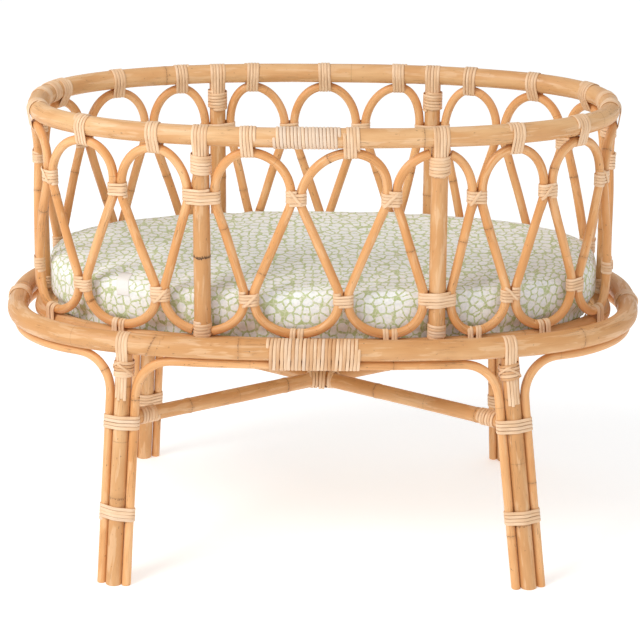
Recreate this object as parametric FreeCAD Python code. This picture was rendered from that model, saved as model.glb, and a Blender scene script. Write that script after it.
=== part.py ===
import FreeCAD, Part
import math
import os

# Fixed-leg rattan baby cradle, in millimetres.
# +Z is up, +X runs along the length, the front faces -Y.
# The origin is on the floor under the middle of the base hoop.

# ---- driving dimensions -------------------------------------------------------------
CLEARANCE = 0.3            # gap left between poles that touch
HOOP_BENDS = 84            # short bends that make up a bent hoop

RIM_HALF_LENGTH = 381.0    # centre line of the top rim
RIM_HALF_WIDTH = 177.5
RIM_POWER = 2.35           # 2 is an ellipse, larger is squarer
RIM_RADIUS = 13.0
RIM_HEIGHT = 600.0

WALL_HALF_LENGTH = 385.0   # plan line on which the looped canes stand
WALL_HALF_WIDTH = 178.0
CANE_RADIUS = 6.0

BASE_HALF_LENGTH = 414.5   # centre line of the outer base hoop
BASE_HALF_WIDTH = 208.5
BASE_POWER = 2.7
BASE_RADIUS = 14.0
BASE_HEIGHT = 326.0

SILL_HALF_LENGTH = 382.5   # centre line of the sill ring inside the base hoop
SILL_HALF_WIDTH = 177.5
SILL_POWER = 2.26
SILL_RADIUS = 11.0
SILL_HEIGHT = 320.0
SILL_SPLICE_X = 60.0       # its splice is at the back

POST_RADIUS = 11.0
END_POST_RADIUS = 8.5
END_POST_SETBACK = 26.0    # the end posts stand this far behind the middle
POST_FOOT_HEIGHT = 330.3   # each post is hollowed underneath to sit on the sill ring
LEG_RADIUS = 11.0
STRETCHER_RADIUS = 10.0

WAIST_HEIGHT = 521.0       # loops are tied to each other here, wide part above
LOWER_HEIGHT = 385.0       # and here, wide part below
ARCH_SPRING_HEIGHT = WAIST_HEIGHT + 5.0     # the arch curves from here up
BOWL_SPRING_HEIGHT = LOWER_HEIGHT - 5.0     # the loop's foot curves from here down
TIED_LENGTH = 14.0         # two canes run side by side for this far through a lashing
ARCH_TOP_HEIGHT = RIM_HEIGHT - RIM_RADIUS - CANE_RADIUS - CLEARANCE
LOOP_FOOT_HEIGHT = SILL_HEIGHT + SILL_RADIUS + CANE_RADIUS + CLEARANCE
QUARTER_STEPS = 5          # short bends in each quarter of a loop
BESIDE_CANE = CANE_RADIUS + 0.2     # from the middle of a tied pair to each cane's centre
BESIDE_POST = CANE_RADIUS + 0.6     # from a post's surface to the centre of a cane tied to it

STRIP_THICKNESS = 1.4      # binding cane
STRIP_PITCH = 4.5          # one turn beside the next
LASHING_WIDTH = 15.0
FOOT_LASHING_WIDTH = 12.0
TIE_SLACK = 1.2            # room inside each kind of binding, as the canes in it are bent
SADDLE_SLACK = 2.25
FOOT_SLACK = 1.3
STRAP_SLACK = 1.0
LEG_BAND_SLACK = 0.8
HOOP_WRAP_SLACK = 1.3
RIM_WRAP_SLACK = 0.8
SNUG_SLACK = 0.4           # turns round one straight pole
TURN_WIDTH = STRIP_PITCH - 0.3
END_GAP = STRIP_THICKNESS + 3.3     # a cut cane end stays this far off the post itself

RIM_WRAP_SPAN = (-60.0, 22.0)       # X of the strip wound over the rim's splice
CORNER_WRAP_SETBACK = 62.0          # short wrap on the rim, from its left end to the back
CORNER_WRAP_TURNS = 4
CORNER_TURN_WIDTH = 3.4
BASE_WRAP_SPAN = (-68.0, 50.0)      # X of the strip wound over base hoop and front arch cane
BASE_END_TURNS = 4
POST_WRAP_WIDTH = 22.0
POST_STRAP_DROP = 23.0
POST_STRAP_WIDTH = 20.0
POST_FOOT_WRAP_WIDTH = 17.0
WRAP_GAP = 1.0                      # between a post's foot wrap and the sill ring
STRAP_GAP = 0.5                     # between a post's strap and its top wrap

LEG_FOOT_Y = 221.0         # centre of each foot, from the middle
LEG_TOP_HEIGHT = BASE_HEIGHT - BASE_RADIUS
ARCH_CANE_HEIGHT = BASE_HEIGHT - BASE_RADIUS - CANE_RADIUS - CLEARANCE
ARCH_BEND_RADIUS = 48.0
ARCH_LEVEL_START = 34.0    # level from this far past the bend
ARCH_SPACING = 40.0        # short bends of the level run
LEG_HEAD_WRAP_HEIGHT = 296.0
LEG_HEAD_WRAP_WIDTH = 18.0
LEG_STRAP_DROP = 18.0
LEG_STRAP_WIDTH = 16.0
UPPER_BAND_HEIGHT = 221.0
LOWER_BAND_HEIGHT = 97.0
LEG_BAND_WIDTH = 20.0
STRETCHER_FRONT_HEIGHT = 223.0
STRETCHER_BACK_HEIGHT = 199.0
STRETCHER_WRAP_SETBACK = 42.0
STRETCHER_WRAP_WIDTH = 24.0
CENTRE_LASHING_WIDTH = 9.0
# Half length, gap over the poles and turn (degrees) of the two crossing loops.
CENTRE_LOOPS = ((28.0, 0.9, 0.0), (21.0, 2.6, 90.0))

DECK_TOP = 319.0
SLAT_THICKNESS = 6.0
SLAT_WIDTH = 36.0
SLAT_PITCH = 60.0
SLAT_COUNT = 12
RAIL_RADIUS = 7.0
RAIL_Y = 45.0
RAIL_GAP = 0.1             # under the slats
SLAT_END_GAP = 1.0         # off the lashings on the sill ring
SCREW_RADIUS = 1.6
SCREW_LENGTH = 15.0
SCREW_HEAD_RADIUS = 3.4
SCREW_HEAD_DEPTH = 2.0

MATTRESS_HALF_LENGTH = 363.0
MATTRESS_HALF_WIDTH = 160.0
MATTRESS_POWER = 2.32
MATTRESS_BOTTOM = DECK_TOP + CLEARANCE
MATTRESS_HEIGHT = 89.0
MATTRESS_ROUNDING = 16.0
OUTLINE_POINTS = 48
COVER_THICKNESS = 1.2
LABEL_X = -262.0
LABEL_HEIGHT = 380.0       # centre of the blank label on the front side
LABEL_SIZE = (18.0, 0.6, 24.0)
LABEL_OFFSET = 0.9         # its outer face, off the cover

OVERRUN = 20.0             # poles are drawn this much too long, then trimmed
CUTTER_REACH = 45.0        # half length of the rods and blocks they are trimmed with
ROOM = (1200.0, 800.0, 800.0)       # holds the whole cradle, from the floor up

# Each leg leans outwards: X of its top under the hoop, X of its foot, side (-1 is front).
LEGS = {
    "front_left": (-255.0, -273.0, -1),
    "front_right": (243.0, 277.0, -1),
    "back_right": (257.0, 271.0, 1),
    "back_left": (-250.0, -269.0, 1),
}

Vector = FreeCAD.Vector
UP = Vector(0, 0, 1)


# ---- plan curves ----------------------------------------------------------------------
class PlanCurve:
    """A closed superellipse, walked by distance counter-clockwise from its +X end."""

    SAMPLES = 2880

    def __init__(self, half_length, half_width, power):
        self.half_length = half_length
        self.half_width = half_width
        self.power = power
        self.points = [self.point_at_angle(2 * math.pi * i / self.SAMPLES)
                       for i in range(self.SAMPLES + 1)]
        self.distances = [0.0]
        for a, b in zip(self.points, self.points[1:]):
            self.distances.append(self.distances[-1] + math.dist(a, b))
        self.length = self.distances[-1]

    def point_at_angle(self, angle):
        c, s = math.cos(angle), math.sin(angle)
        exponent = 2 / self.power
        return (self.half_length * math.copysign(abs(c) ** exponent, c),
                self.half_width * math.copysign(abs(s) ** exponent, s))

    def half_width_at(self, x):
        share = min(abs(x) / self.half_length, 1.0)
        return self.half_width * (1 - share ** self.power) ** (1 / self.power)

    def at(self, distance, height):
        distance %= self.length
        low, high = 0, self.SAMPLES
        while high - low > 1:
            middle = (low + high) // 2
            if self.distances[middle] <= distance:
                low = middle
            else:
                high = middle
        share = (distance - self.distances[low]) / (self.distances[high] - self.distances[low])
        a, b = self.points[low], self.points[high]
        return Vector(a[0] + share * (b[0] - a[0]), a[1] + share * (b[1] - a[1]), height)

    def tangent(self, distance):
        return (self.at(distance + 1, 0) - self.at(distance - 1, 0)).normalize()

    def distance_at_x(self, x, side):
        """Distance to the point with this x on the back (side 1) or the front (side -1)."""
        found = min(range(self.SAMPLES),
                    key=lambda i: abs(self.points[i][0] - x) + (self.points[i][1] * side < 0) * 1e6)
        return self.distances[found]


RIM = PlanCurve(RIM_HALF_LENGTH, RIM_HALF_WIDTH, RIM_POWER)
WALL = PlanCurve(WALL_HALF_LENGTH, WALL_HALF_WIDTH, RIM_POWER)
BASE = PlanCurve(BASE_HALF_LENGTH, BASE_HALF_WIDTH, BASE_POWER)
SILL = PlanCurve(SILL_HALF_LENGTH, SILL_HALF_WIDTH, SILL_POWER)
MATTRESS = PlanCurve(MATTRESS_HALF_LENGTH, MATTRESS_HALF_WIDTH, MATTRESS_POWER)


# ---- poles, rings and bindings --------------------------------------------------------
def smooth_wire(points, radii=None):
    """Straight runs joined by tangent arcs. radii gives the bend at chosen point indexes."""
    radii = radii or {}
    edges = []
    start = points[0]
    for i in range(1, len(points) - 1):
        before, here, after = points[i - 1], points[i], points[i + 1]
        inward = (here - before).normalize()
        onward = (after - here).normalize()
        turn = inward.getAngle(onward)
        if turn < 1e-3:
            continue
        if i in radii:
            setback = radii[i] * math.tan(turn / 2)
        else:
            setback = 0.45 * min((here - before).Length, (after - here).Length)
        radius = setback / math.tan(turn / 2)
        arc_start = here - inward * setback
        arc_end = here + onward * setback
        middle = (onward - inward).normalize() * (radius / math.cos(turn / 2) - radius) + here
        edges.append(Part.LineSegment(start, arc_start).toShape())
        edges.append(Part.Arc(arc_start, middle, arc_end).toShape())
        start = arc_end
    edges.append(Part.LineSegment(start, points[-1]).toShape())
    return Part.Wire(edges)


def pole_along(points, radius, radii=None):
    spine = smooth_wire(points, radii)
    start_direction = (points[1] - points[0]).normalize()
    section = Part.Wire([Part.makeCircle(radius, points[0], start_direction)])
    return Part.Wire(spine).makePipeShell([section], True, False)


def straight_pole(start, end, radius):
    return Part.makeCylinder(radius, (end - start).Length, start, end - start)


def bent_ring(curve, height, radius, splice_distance):
    """One pole bent round the whole curve, its two ends face to face at the splice."""
    step = (curve.length - CLEARANCE) / HOOP_BENDS
    points = [curve.at(splice_distance + i * step, height) for i in range(HOOP_BENDS + 1)]
    return pole_along(points, radius)


def ring(centre, axis, inner_radius, width):
    """A close binding round one pole, centred on a point of its axis."""
    base = centre - axis * (width / 2)
    outer = Part.makeCylinder(inner_radius + STRIP_THICKNESS, width, base, axis)
    return outer.cut(Part.makeCylinder(inner_radius, width, base, axis))


def outline(circles, grow):
    """The tight outline round circles (position, radius) that stand in one line."""
    circles = [(x, r + grow) for x, r in circles]
    normals = []
    for (x1, r1), (x2, r2) in zip(circles, circles[1:]):
        along = (r1 - r2) / (x2 - x1)
        normals.append((along, math.sqrt(1 - along * along)))

    def on_circle(i, normal, side):
        x, r = circles[i]
        return Vector(x + r * normal[0], side * r * normal[1], 0)

    def flank(side):
        edges = []
        for i, normal in enumerate(normals):
            if i > 0:
                crown = Vector(circles[i][0], side * circles[i][1], 0)
                edges.append(Part.Arc(on_circle(i, normals[i - 1], side), crown,
                                      on_circle(i, normal, side)).toShape())
            edges.append(Part.LineSegment(on_circle(i, normal, side),
                                          on_circle(i + 1, normal, side)).toShape())
        return edges

    (first_x, first_r), (last_x, last_r) = circles[0], circles[-1]
    last = len(circles) - 1
    start_cap = Part.Arc(on_circle(0, normals[0], -1), Vector(first_x - first_r, 0, 0),
                         on_circle(0, normals[0], 1)).toShape()
    end_cap = Part.Arc(on_circle(last, normals[-1], 1), Vector(last_x + last_r, 0, 0),
                       on_circle(last, normals[-1], -1)).toShape()
    sorted_edges = Part.__sortEdges__([start_cap] + flank(1) + [end_cap] + flank(-1))
    return Part.Face(Part.Wire(sorted_edges))


def placed(shape, centre, along, axis):
    """Move a shape drawn on X (along) and Z (axis) to its place."""
    across = axis.cross(along).normalize()
    matrix = FreeCAD.Matrix(along.x, across.x, axis.x, centre.x,
                            along.y, across.y, axis.y, centre.y,
                            along.z, across.z, axis.z, centre.z,
                            0, 0, 0, 1)
    moved = shape.copy()
    moved.Placement = FreeCAD.Placement(matrix).multiply(shape.Placement)
    return moved


def band(centre, along, axis, circles, width, slack=TIE_SLACK):
    """A binding of several turns pulled round poles that lie side by side."""
    outer = outline(circles, slack + STRIP_THICKNESS).extrude(Vector(0, 0, width))
    inner = outline(circles, slack).extrude(Vector(0, 0, width))
    loop = outer.cut(inner)
    loop.translate(Vector(0, 0, -width / 2))
    return placed(loop, centre, along, axis)


def strap(centre, axis, rail_radius, drop, width):
    """A binding laid over a rail, its two ends running down beside the pole under it."""
    inner = rail_radius + STRAP_SLACK
    outer = inner + STRIP_THICKNESS
    half_ring = Part.makeCylinder(outer, width).cut(Part.makeCylinder(inner, width))
    below = Part.makeBox(drop + 2 * outer, 4 * outer, width, Vector(0, -2 * outer, 0))
    arch = half_ring.cut(below)
    for side in (-1, 1):
        edge = min(side * inner, side * outer)
        leg = Part.makeBox(drop, STRIP_THICKNESS, width, Vector(0, edge, 0))
        arch = arch.fuse(leg)
    arch = arch.removeSplitter()
    arch.translate(Vector(0, 0, -width / 2))
    return placed(arch, centre, UP * -1, axis)


NODES = {}


def node(name, *solids):
    NODES[name] = solids[0] if len(solids) == 1 else Part.makeCompound(list(solids))


# ---- stations round the wall ------------------------------------------------------------
POSTS = {
    "right_end": (END_POST_SETBACK, END_POST_RADIUS),
    "back_right": (WALL.distance_at_x(151, 1), POST_RADIUS),
    "back_left": (WALL.distance_at_x(-151, 1), POST_RADIUS),
    "left_end": (WALL.length / 2 - END_POST_SETBACK, END_POST_RADIUS),
    "front_left": (WALL.distance_at_x(-154, -1), POST_RADIUS),
    "front_right": (WALL.distance_at_x(150, -1), POST_RADIUS),
}

# Each panel is one cane looped between two posts: its posts, its number of loops, where in
# the pattern it starts (a waist or an arch top), and how far its arch tops lean.
PANELS = {
    "right_back": ("right_end", "back_right", 3.0, "waist", (6, 0, -3)),
    "back_centre": ("back_right", "back_left", 3.0, "waist", (-3, 0, 2)),
    "left_back": ("back_left", "left_end", 3.0, "waist", (2, -3, -6)),
    "left_front": ("left_end", "front_left", 3.0, "waist", (12, 8, -4)),
    "front_centre": ("front_left", "front_right", 2.5, "waist", (0, 9, 0)),
    "right_front": ("front_right", "right_end", 3.5, "top", (0, 0, -3, 2)),
}


def quarter(centre, half_width, half_height, cut=0.0):
    """Quarter of an ellipse in the unrolled wall, from its crown out to its flank.

    The crown is straight above or below the centre. cut is how far from there it starts.
    """
    crown = math.acos(cut / abs(half_width))
    angles = [crown * (1 - i / QUARTER_STEPS) for i in range(QUARTER_STEPS + 1)]
    return [(centre[0] + half_width * math.cos(angle), centre[1] + half_height * math.sin(angle))
            for angle in angles]


class Panel:
    """Loops between two posts, worked out in the unrolled wall as (distance, height)."""

    def __init__(self, start_post, end_post, loops, phase, leans):
        self.start, self.start_radius = POSTS[start_post]
        self.end, self.end_radius = POSTS[end_post]
        if self.end < self.start:
            self.end += WALL.length
        self.half_pitch = (self.end - self.start) / loops / 2
        first_top = self.start + (self.half_pitch if phase == "waist" else 0)
        top_count = math.ceil(loops)
        self.tops = [first_top + 2 * i * self.half_pitch for i in range(top_count)]
        self.leans = leans

    def post_radius_at(self, station):
        if abs(station - self.start) < 1:
            return self.start_radius
        if abs(station - self.end) < 1:
            return self.end_radius
        return 0.0

    def beside(self, station):
        """How far a cane's centre line stays from a station: beside a post or another cane."""
        radius = self.post_radius_at(station)
        return radius + BESIDE_POST if radius else BESIDE_CANE

    def cut(self, station):
        radius = self.post_radius_at(station)
        return radius + END_GAP if radius else 0.0

    def inside(self, station):
        return self.start - 1 < station < self.end + 1

    def half_loop(self, top, side, lean):
        """From an arch top down one side to the loop's foot."""
        waist = top + side * self.half_pitch
        rise = ARCH_TOP_HEIGHT - ARCH_SPRING_HEIGHT
        high = quarter((top, ARCH_SPRING_HEIGHT),
                       side * (self.half_pitch - self.beside(waist)), rise, self.cut(top))
        high = [(s + lean * (z - ARCH_SPRING_HEIGHT) / rise, z) for s, z in high]
        low = quarter((waist, BOWL_SPRING_HEIGHT),
                      -side * (self.half_pitch - self.beside(top)),
                      LOOP_FOOT_HEIGHT - BOWL_SPRING_HEIGHT, self.cut(waist))
        tied = [(high[-1][0], ARCH_SPRING_HEIGHT - TIED_LENGTH),
                (low[-1][0], BOWL_SPRING_HEIGHT + TIED_LENGTH)]
        return high + tied + low[::-1]

    def path(self):
        points = []
        for top, lean in zip(self.tops, self.leans):
            halves = []
            if self.inside(top - self.half_pitch):
                halves.append(list(reversed(self.half_loop(top, -1, lean))))
            if self.inside(top + self.half_pitch):
                halves.append(self.half_loop(top, 1, lean))
            for half in halves:
                if points and math.dist(points[-1], half[0]) < 1:
                    half = half[1:]
                points.extend(half)
        return [WALL.at(s, z) for s, z in points]

    def waists(self):
        found = [top + side * self.half_pitch for top in self.tops for side in (-1, 1)]
        return sorted({round(s, 3) for s in found if self.inside(s)})


def build_walls():
    saddles, waist_lashings, lower_lashings, foot_lashings = [], [], [], []
    for name, (start_post, end_post, loops, phase, leans) in PANELS.items():
        panel = Panel(start_post, end_post, loops, phase, leans)
        node("loop_cane_" + name, pole_along(panel.path(), CANE_RADIUS))
        pair = [(-BESIDE_CANE, CANE_RADIUS), (BESIDE_CANE, CANE_RADIUS)]
        for top, lean in zip(panel.tops, panel.leans):
            if panel.post_radius_at(top):
                continue
            saddles.append(rim_saddle(top + lean))
            lower_lashings.append(band(WALL.at(top, LOWER_HEIGHT), WALL.tangent(top), UP,
                                       pair, LASHING_WIDTH))
        for waist in panel.waists():
            if panel.post_radius_at(waist):
                continue
            waist_lashings.append(band(WALL.at(waist, WAIST_HEIGHT), WALL.tangent(waist), UP,
                                       pair, LASHING_WIDTH))
            foot_lashings.append(foot_lashing(waist))
    for name, (distance, radius) in POSTS.items():
        height = LOWER_HEIGHT if name == "front_right" else WAIST_HEIGHT
        reach = radius + BESIDE_POST
        row = [(-reach, CANE_RADIUS), (0, radius), (reach, CANE_RADIUS)]
        lashings = lower_lashings if name == "front_right" else waist_lashings
        lashings.append(band(WALL.at(distance, height), WALL.tangent(distance), UP,
                             row, LASHING_WIDTH))
    node("rim_saddle_lashings", *saddles)
    node("waist_lashings", *waist_lashings)
    node("lower_lashings", *lower_lashings)
    node("loop_foot_lashings", *foot_lashings)


def rim_saddle(distance):
    """Binding over the rim and under the top of one arch."""
    on_wall = WALL.at(distance, ARCH_TOP_HEIGHT)
    share = distance / WALL.length
    on_rim = nearest(RIM, on_wall, share * RIM.length, RIM_HEIGHT)
    along = on_wall - on_rim
    circles = [(0, RIM_RADIUS), (along.Length, CANE_RADIUS)]
    along.normalize()
    side = RIM.tangent(share * RIM.length)
    axis = along.cross(side).cross(along).normalize()
    return band(on_rim, along, axis, circles, LASHING_WIDTH, SADDLE_SLACK)


def foot_lashing(distance):
    """Binding round the sill ring and over the foot of one loop."""
    on_wall = WALL.at(distance, LOOP_FOOT_HEIGHT)
    share = distance / WALL.length
    on_sill = nearest(SILL, on_wall, share * SILL.length, SILL_HEIGHT)
    along = on_wall - on_sill
    circles = [(0, SILL_RADIUS), (along.Length, CANE_RADIUS)]
    along.normalize()
    axis = along.cross(SILL.tangent(share * SILL.length)).cross(along).normalize()
    return band(on_sill, along, axis, circles, FOOT_LASHING_WIDTH, FOOT_SLACK)


def nearest(curve, point, guess, height):
    """The point of a curve, near a guessed distance, that is closest to another point in plan."""
    plan = Vector(point.x, point.y, height)
    best = min((guess + step * 0.5 for step in range(-60, 61)),
               key=lambda distance: (curve.at(distance, height) - plan).Length)
    return curve.at(best, height)


# ---- rim, sill and posts ------------------------------------------------------------------
def wound_span(curve, span, turn):
    """One turn of strip after another between two X positions on the front of a curve."""
    start = curve.distance_at_x(span[0], -1)
    end = curve.distance_at_x(span[1], -1)
    count = round((end - start) / STRIP_PITCH)
    return [turn(start + (i + 0.5) * (end - start) / count) for i in range(count)]


def build_rim():
    splice = RIM.distance_at_x(sum(RIM_WRAP_SPAN) / 2, -1)
    node("top_rim", bent_ring(RIM, RIM_HEIGHT, RIM_RADIUS, splice))

    def turn(distance, width=TURN_WIDTH):
        return ring(RIM.at(distance, RIM_HEIGHT), RIM.tangent(distance),
                    RIM_RADIUS + RIM_WRAP_SLACK, width)

    node("rim_splice_wrap", *wound_span(RIM, RIM_WRAP_SPAN, turn))
    corner = RIM.length / 2 - CORNER_WRAP_SETBACK
    corner_turns = [turn(corner + i * STRIP_PITCH, CORNER_TURN_WIDTH)
                    for i in range(CORNER_WRAP_TURNS)]
    node("rim_corner_wrap", *corner_turns)


def build_sill_and_deck():
    splice = SILL.distance_at_x(SILL_SPLICE_X, 1)
    node("sill_ring", bent_ring(SILL, SILL_HEIGHT, SILL_RADIUS, splice))
    space = bent_ring(SILL, SILL_HEIGHT, SILL_RADIUS + CLEARANCE, splice)
    lashing_space = bent_ring(SILL, SILL_HEIGHT,
                              SILL_RADIUS + FOOT_SLACK + STRIP_THICKNESS + SLAT_END_GAP, splice)
    rail_height = DECK_TOP - SLAT_THICKNESS - RAIL_RADIUS - RAIL_GAP
    for name, side in (("deck_rail_front", -1), ("deck_rail_back", 1)):
        reach = SILL_HALF_LENGTH
        rail = straight_pole(Vector(-reach, side * RAIL_Y, rail_height),
                             Vector(reach, side * RAIL_Y, rail_height), RAIL_RADIUS)
        node(name, middle_piece(rail.cut(space)))
    slats, screws = [], []
    for i in range(SLAT_COUNT):
        x = (i - (SLAT_COUNT - 1) / 2) * SLAT_PITCH
        reach = SILL.half_width_at(x) + SILL_RADIUS
        slat = Part.makeBox(SLAT_WIDTH, 2 * reach, SLAT_THICKNESS,
                            Vector(x - SLAT_WIDTH / 2, -reach, DECK_TOP - SLAT_THICKNESS))
        slats.append(middle_piece(slat.cut(lashing_space)))
        screws += [deck_screw(x, side * RAIL_Y) for side in (-1, 1)]
    node("deck_slats", *slats)
    node("deck_screws", *screws)


def hollow_rod(centre, direction, radius):
    """The space a crossing pole needs where another is shaped to fit against it."""
    return straight_pole(centre - direction * CUTTER_REACH, centre + direction * CUTTER_REACH,
                         radius + CLEARANCE)


def middle_piece(shape):
    """The piece left across the middle when both ends have been trimmed off."""
    return max(shape.Solids, key=lambda solid: solid.Volume)


def deck_screw(x, y):
    shank = Part.makeCylinder(SCREW_RADIUS, SCREW_LENGTH, Vector(x, y, DECK_TOP - SCREW_LENGTH))
    head = Part.makeCone(SCREW_RADIUS, SCREW_HEAD_RADIUS, SCREW_HEAD_DEPTH,
                         Vector(x, y, DECK_TOP - SCREW_HEAD_DEPTH))
    return shank.fuse(head).removeSplitter()


def build_posts():
    straps, top_wraps, foot_wraps = [], [], []
    for name, (distance, radius) in POSTS.items():
        foot = WALL.at(distance, POST_FOOT_HEIGHT)
        head = WALL.at(distance, RIM_HEIGHT)
        tangent = WALL.tangent(distance)
        rim_centre = nearest(RIM, head, distance * RIM.length / WALL.length, RIM_HEIGHT)
        sill_centre = nearest(SILL, foot, distance * SILL.length / WALL.length, SILL_HEIGHT)
        post = straight_pole(foot, head, radius)
        for centre, rail_radius in ((rim_centre, RIM_RADIUS), (sill_centre, SILL_RADIUS)):
            post = post.cut(hollow_rod(centre, tangent, rail_radius))
        node("post_" + name, middle_piece(post))
        straps.append(strap(rim_centre, tangent, RIM_RADIUS, POST_STRAP_DROP, POST_STRAP_WIDTH))
        wrap_top = RIM_HEIGHT - POST_STRAP_DROP - STRAP_GAP
        top_wraps.append(ring(WALL.at(distance, wrap_top - POST_WRAP_WIDTH / 2), UP,
                              radius + SNUG_SLACK, POST_WRAP_WIDTH))
        wrap_foot = SILL_HEIGHT + SILL_RADIUS + WRAP_GAP
        foot_wraps.append(ring(WALL.at(distance, wrap_foot + POST_FOOT_WRAP_WIDTH / 2), UP,
                               radius + SNUG_SLACK, POST_FOOT_WRAP_WIDTH))
    node("post_rim_straps", *straps)
    node("post_top_wraps", *top_wraps)
    node("post_foot_wraps", *foot_wraps)


# ---- base hoop, legs and stretchers ---------------------------------------------------------
class Leg:
    def __init__(self, top_x, foot_x, side):
        self.distance = BASE.distance_at_x(top_x, side)
        self.top = BASE.at(self.distance, LEG_TOP_HEIGHT)
        self.foot = Vector(foot_x, side * LEG_FOOT_Y, 0)
        self.tangent = BASE.tangent(self.distance)
        self.direction = (self.top - self.foot).normalize()
        lengthwise = self.direction * self.tangent.dot(self.direction)
        self.across = (self.tangent - lengthwise).normalize()
        reach = LEG_RADIUS + CANE_RADIUS + CLEARANCE
        self.side_step = self.across * reach
        self.row = [(-reach, CANE_RADIUS), (0, LEG_RADIUS), (reach, CANE_RADIUS)]

    def at_height(self, height):
        return self.foot + (self.top - self.foot) * (height / self.top.z)


def build_legs():
    legs = {name: Leg(*values) for name, values in LEGS.items()}
    head_wraps, straps, upper_bands, lower_bands = [], [], [], []
    for name, leg in legs.items():
        node("leg_" + name, leg_pole(leg))
        head_wraps.append(ring(leg.at_height(LEG_HEAD_WRAP_HEIGHT), leg.direction,
                               LEG_RADIUS + SNUG_SLACK, LEG_HEAD_WRAP_WIDTH))
        hoop_point = BASE.at(leg.distance, BASE_HEIGHT)
        straps.append(strap(hoop_point, leg.tangent, BASE_RADIUS, LEG_STRAP_DROP,
                            LEG_STRAP_WIDTH))
        for height, bands in ((UPPER_BAND_HEIGHT, upper_bands), (LOWER_BAND_HEIGHT, lower_bands)):
            bands.append(band(leg.at_height(height), leg.across, leg.direction, leg.row,
                              LEG_BAND_WIDTH, LEG_BAND_SLACK))
    node("leg_head_wraps", *head_wraps)
    node("leg_hoop_straps", *straps)
    node("leg_upper_bands", *upper_bands)
    node("leg_lower_bands", *lower_bands)
    pairs = (("right", "front_right", "back_right"), ("back", "back_right", "back_left"),
             ("left", "back_left", "front_left"), ("front", "front_left", "front_right"))
    for name, first, last in pairs:
        node("arch_cane_" + name, arch_cane(legs[first], legs[last]))
    build_stretchers(legs)


def leg_pole(leg):
    """Centre pole, cut flat at the floor and hollowed at its top to fit under the hoop."""
    pole = straight_pole(leg.foot - leg.direction * OVERRUN,
                         leg.top + leg.direction * BASE_RADIUS, LEG_RADIUS)
    hoop = BASE.at(leg.distance, BASE_HEIGHT)
    pole = pole.cut(hollow_rod(hoop, leg.tangent, BASE_RADIUS))
    return above_floor(middle_piece(pole))


def above_floor(shape):
    keep = Part.makeBox(*ROOM, Vector(-ROOM[0] / 2, -ROOM[1] / 2, 0))
    return middle_piece(shape.common(keep))


def arch_cane(first, last):
    """Side cane: up the first leg, round under the base hoop, down the next leg."""
    start = first.distance
    end = last.distance
    if end < start:
        end += BASE.length
    first_step = first.side_step
    last_step = last.side_step * -1
    step_length = first_step.Length
    corner_run = ARCH_BEND_RADIUS + ARCH_LEVEL_START
    run_start = start + step_length + corner_run
    run_end = end - step_length - corner_run
    count = round((run_end - run_start) / ARCH_SPACING)
    under_hoop = [BASE.at(run_start + (run_end - run_start) * i / count, ARCH_CANE_HEIGHT)
                  for i in range(count + 1)]
    corners = [first.at_height(ARCH_CANE_HEIGHT) + first_step,
               last.at_height(ARCH_CANE_HEIGHT) + last_step]
    feet = [first.foot + first_step - first.direction * OVERRUN,
            last.foot + last_step - last.direction * OVERRUN]
    points = [feet[0], corners[0]] + under_hoop + [corners[1], feet[1]]
    bends = {1: ARCH_BEND_RADIUS, len(points) - 2: ARCH_BEND_RADIUS}
    return above_floor(pole_along(points, CANE_RADIUS, bends))


def stretcher_end(leg):
    height = STRETCHER_FRONT_HEIGHT if leg.foot.y < 0 else STRETCHER_BACK_HEIGHT
    return leg.at_height(height)


def trimmed_at(pole, leg):
    """Shape a stretcher's end to butt against a leg's upper band."""
    bundle = outline(leg.row, LEG_BAND_SLACK + STRIP_THICKNESS + CLEARANCE)
    bundle = bundle.extrude(Vector(0, 0, 2 * CUTTER_REACH))
    bundle.translate(Vector(0, 0, -CUTTER_REACH))
    tool = placed(bundle, stretcher_end(leg), leg.across, leg.direction)
    return middle_piece(pole.cut(tool))


def build_stretchers(legs):
    ends = {name: stretcher_end(leg) for name, leg in legs.items()}
    through = straight_pole(ends["front_left"], ends["back_right"], STRETCHER_RADIUS)
    through = trimmed_at(trimmed_at(through, legs["front_left"]), legs["back_right"])
    node("stretcher_long", through)
    crossing_gap = straight_pole(ends["front_left"], ends["back_right"],
                                 STRETCHER_RADIUS + CLEARANCE)
    for label, near in (("stretcher_front", "front_right"), ("stretcher_back", "back_left")):
        far = "back_left" if near == "front_right" else "front_right"
        half = straight_pole(ends[near], (ends[near] + ends[far]) * 0.5, STRETCHER_RADIUS)
        node(label, middle_piece(trimmed_at(half, legs[near]).cut(crossing_gap)))
    opposite = {"front_left": "back_right", "back_right": "front_left",
                "front_right": "back_left", "back_left": "front_right"}
    wraps = []
    for near, far in opposite.items():
        direction = (ends[far] - ends[near]).normalize()
        wraps.append(ring(ends[near] + direction * STRETCHER_WRAP_SETBACK, direction,
                          STRETCHER_RADIUS + SNUG_SLACK, STRETCHER_WRAP_WIDTH))
    node("stretcher_end_wraps", *wraps)
    node("stretcher_centre_lashing", *centre_lashing(ends))


def centred_box(half_length, half_height):
    half_width = CENTRE_LASHING_WIDTH / 2
    return Part.makeBox(2 * half_length, 2 * half_width, 2 * half_height,
                        Vector(-half_length, -half_width, -half_height))


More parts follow.
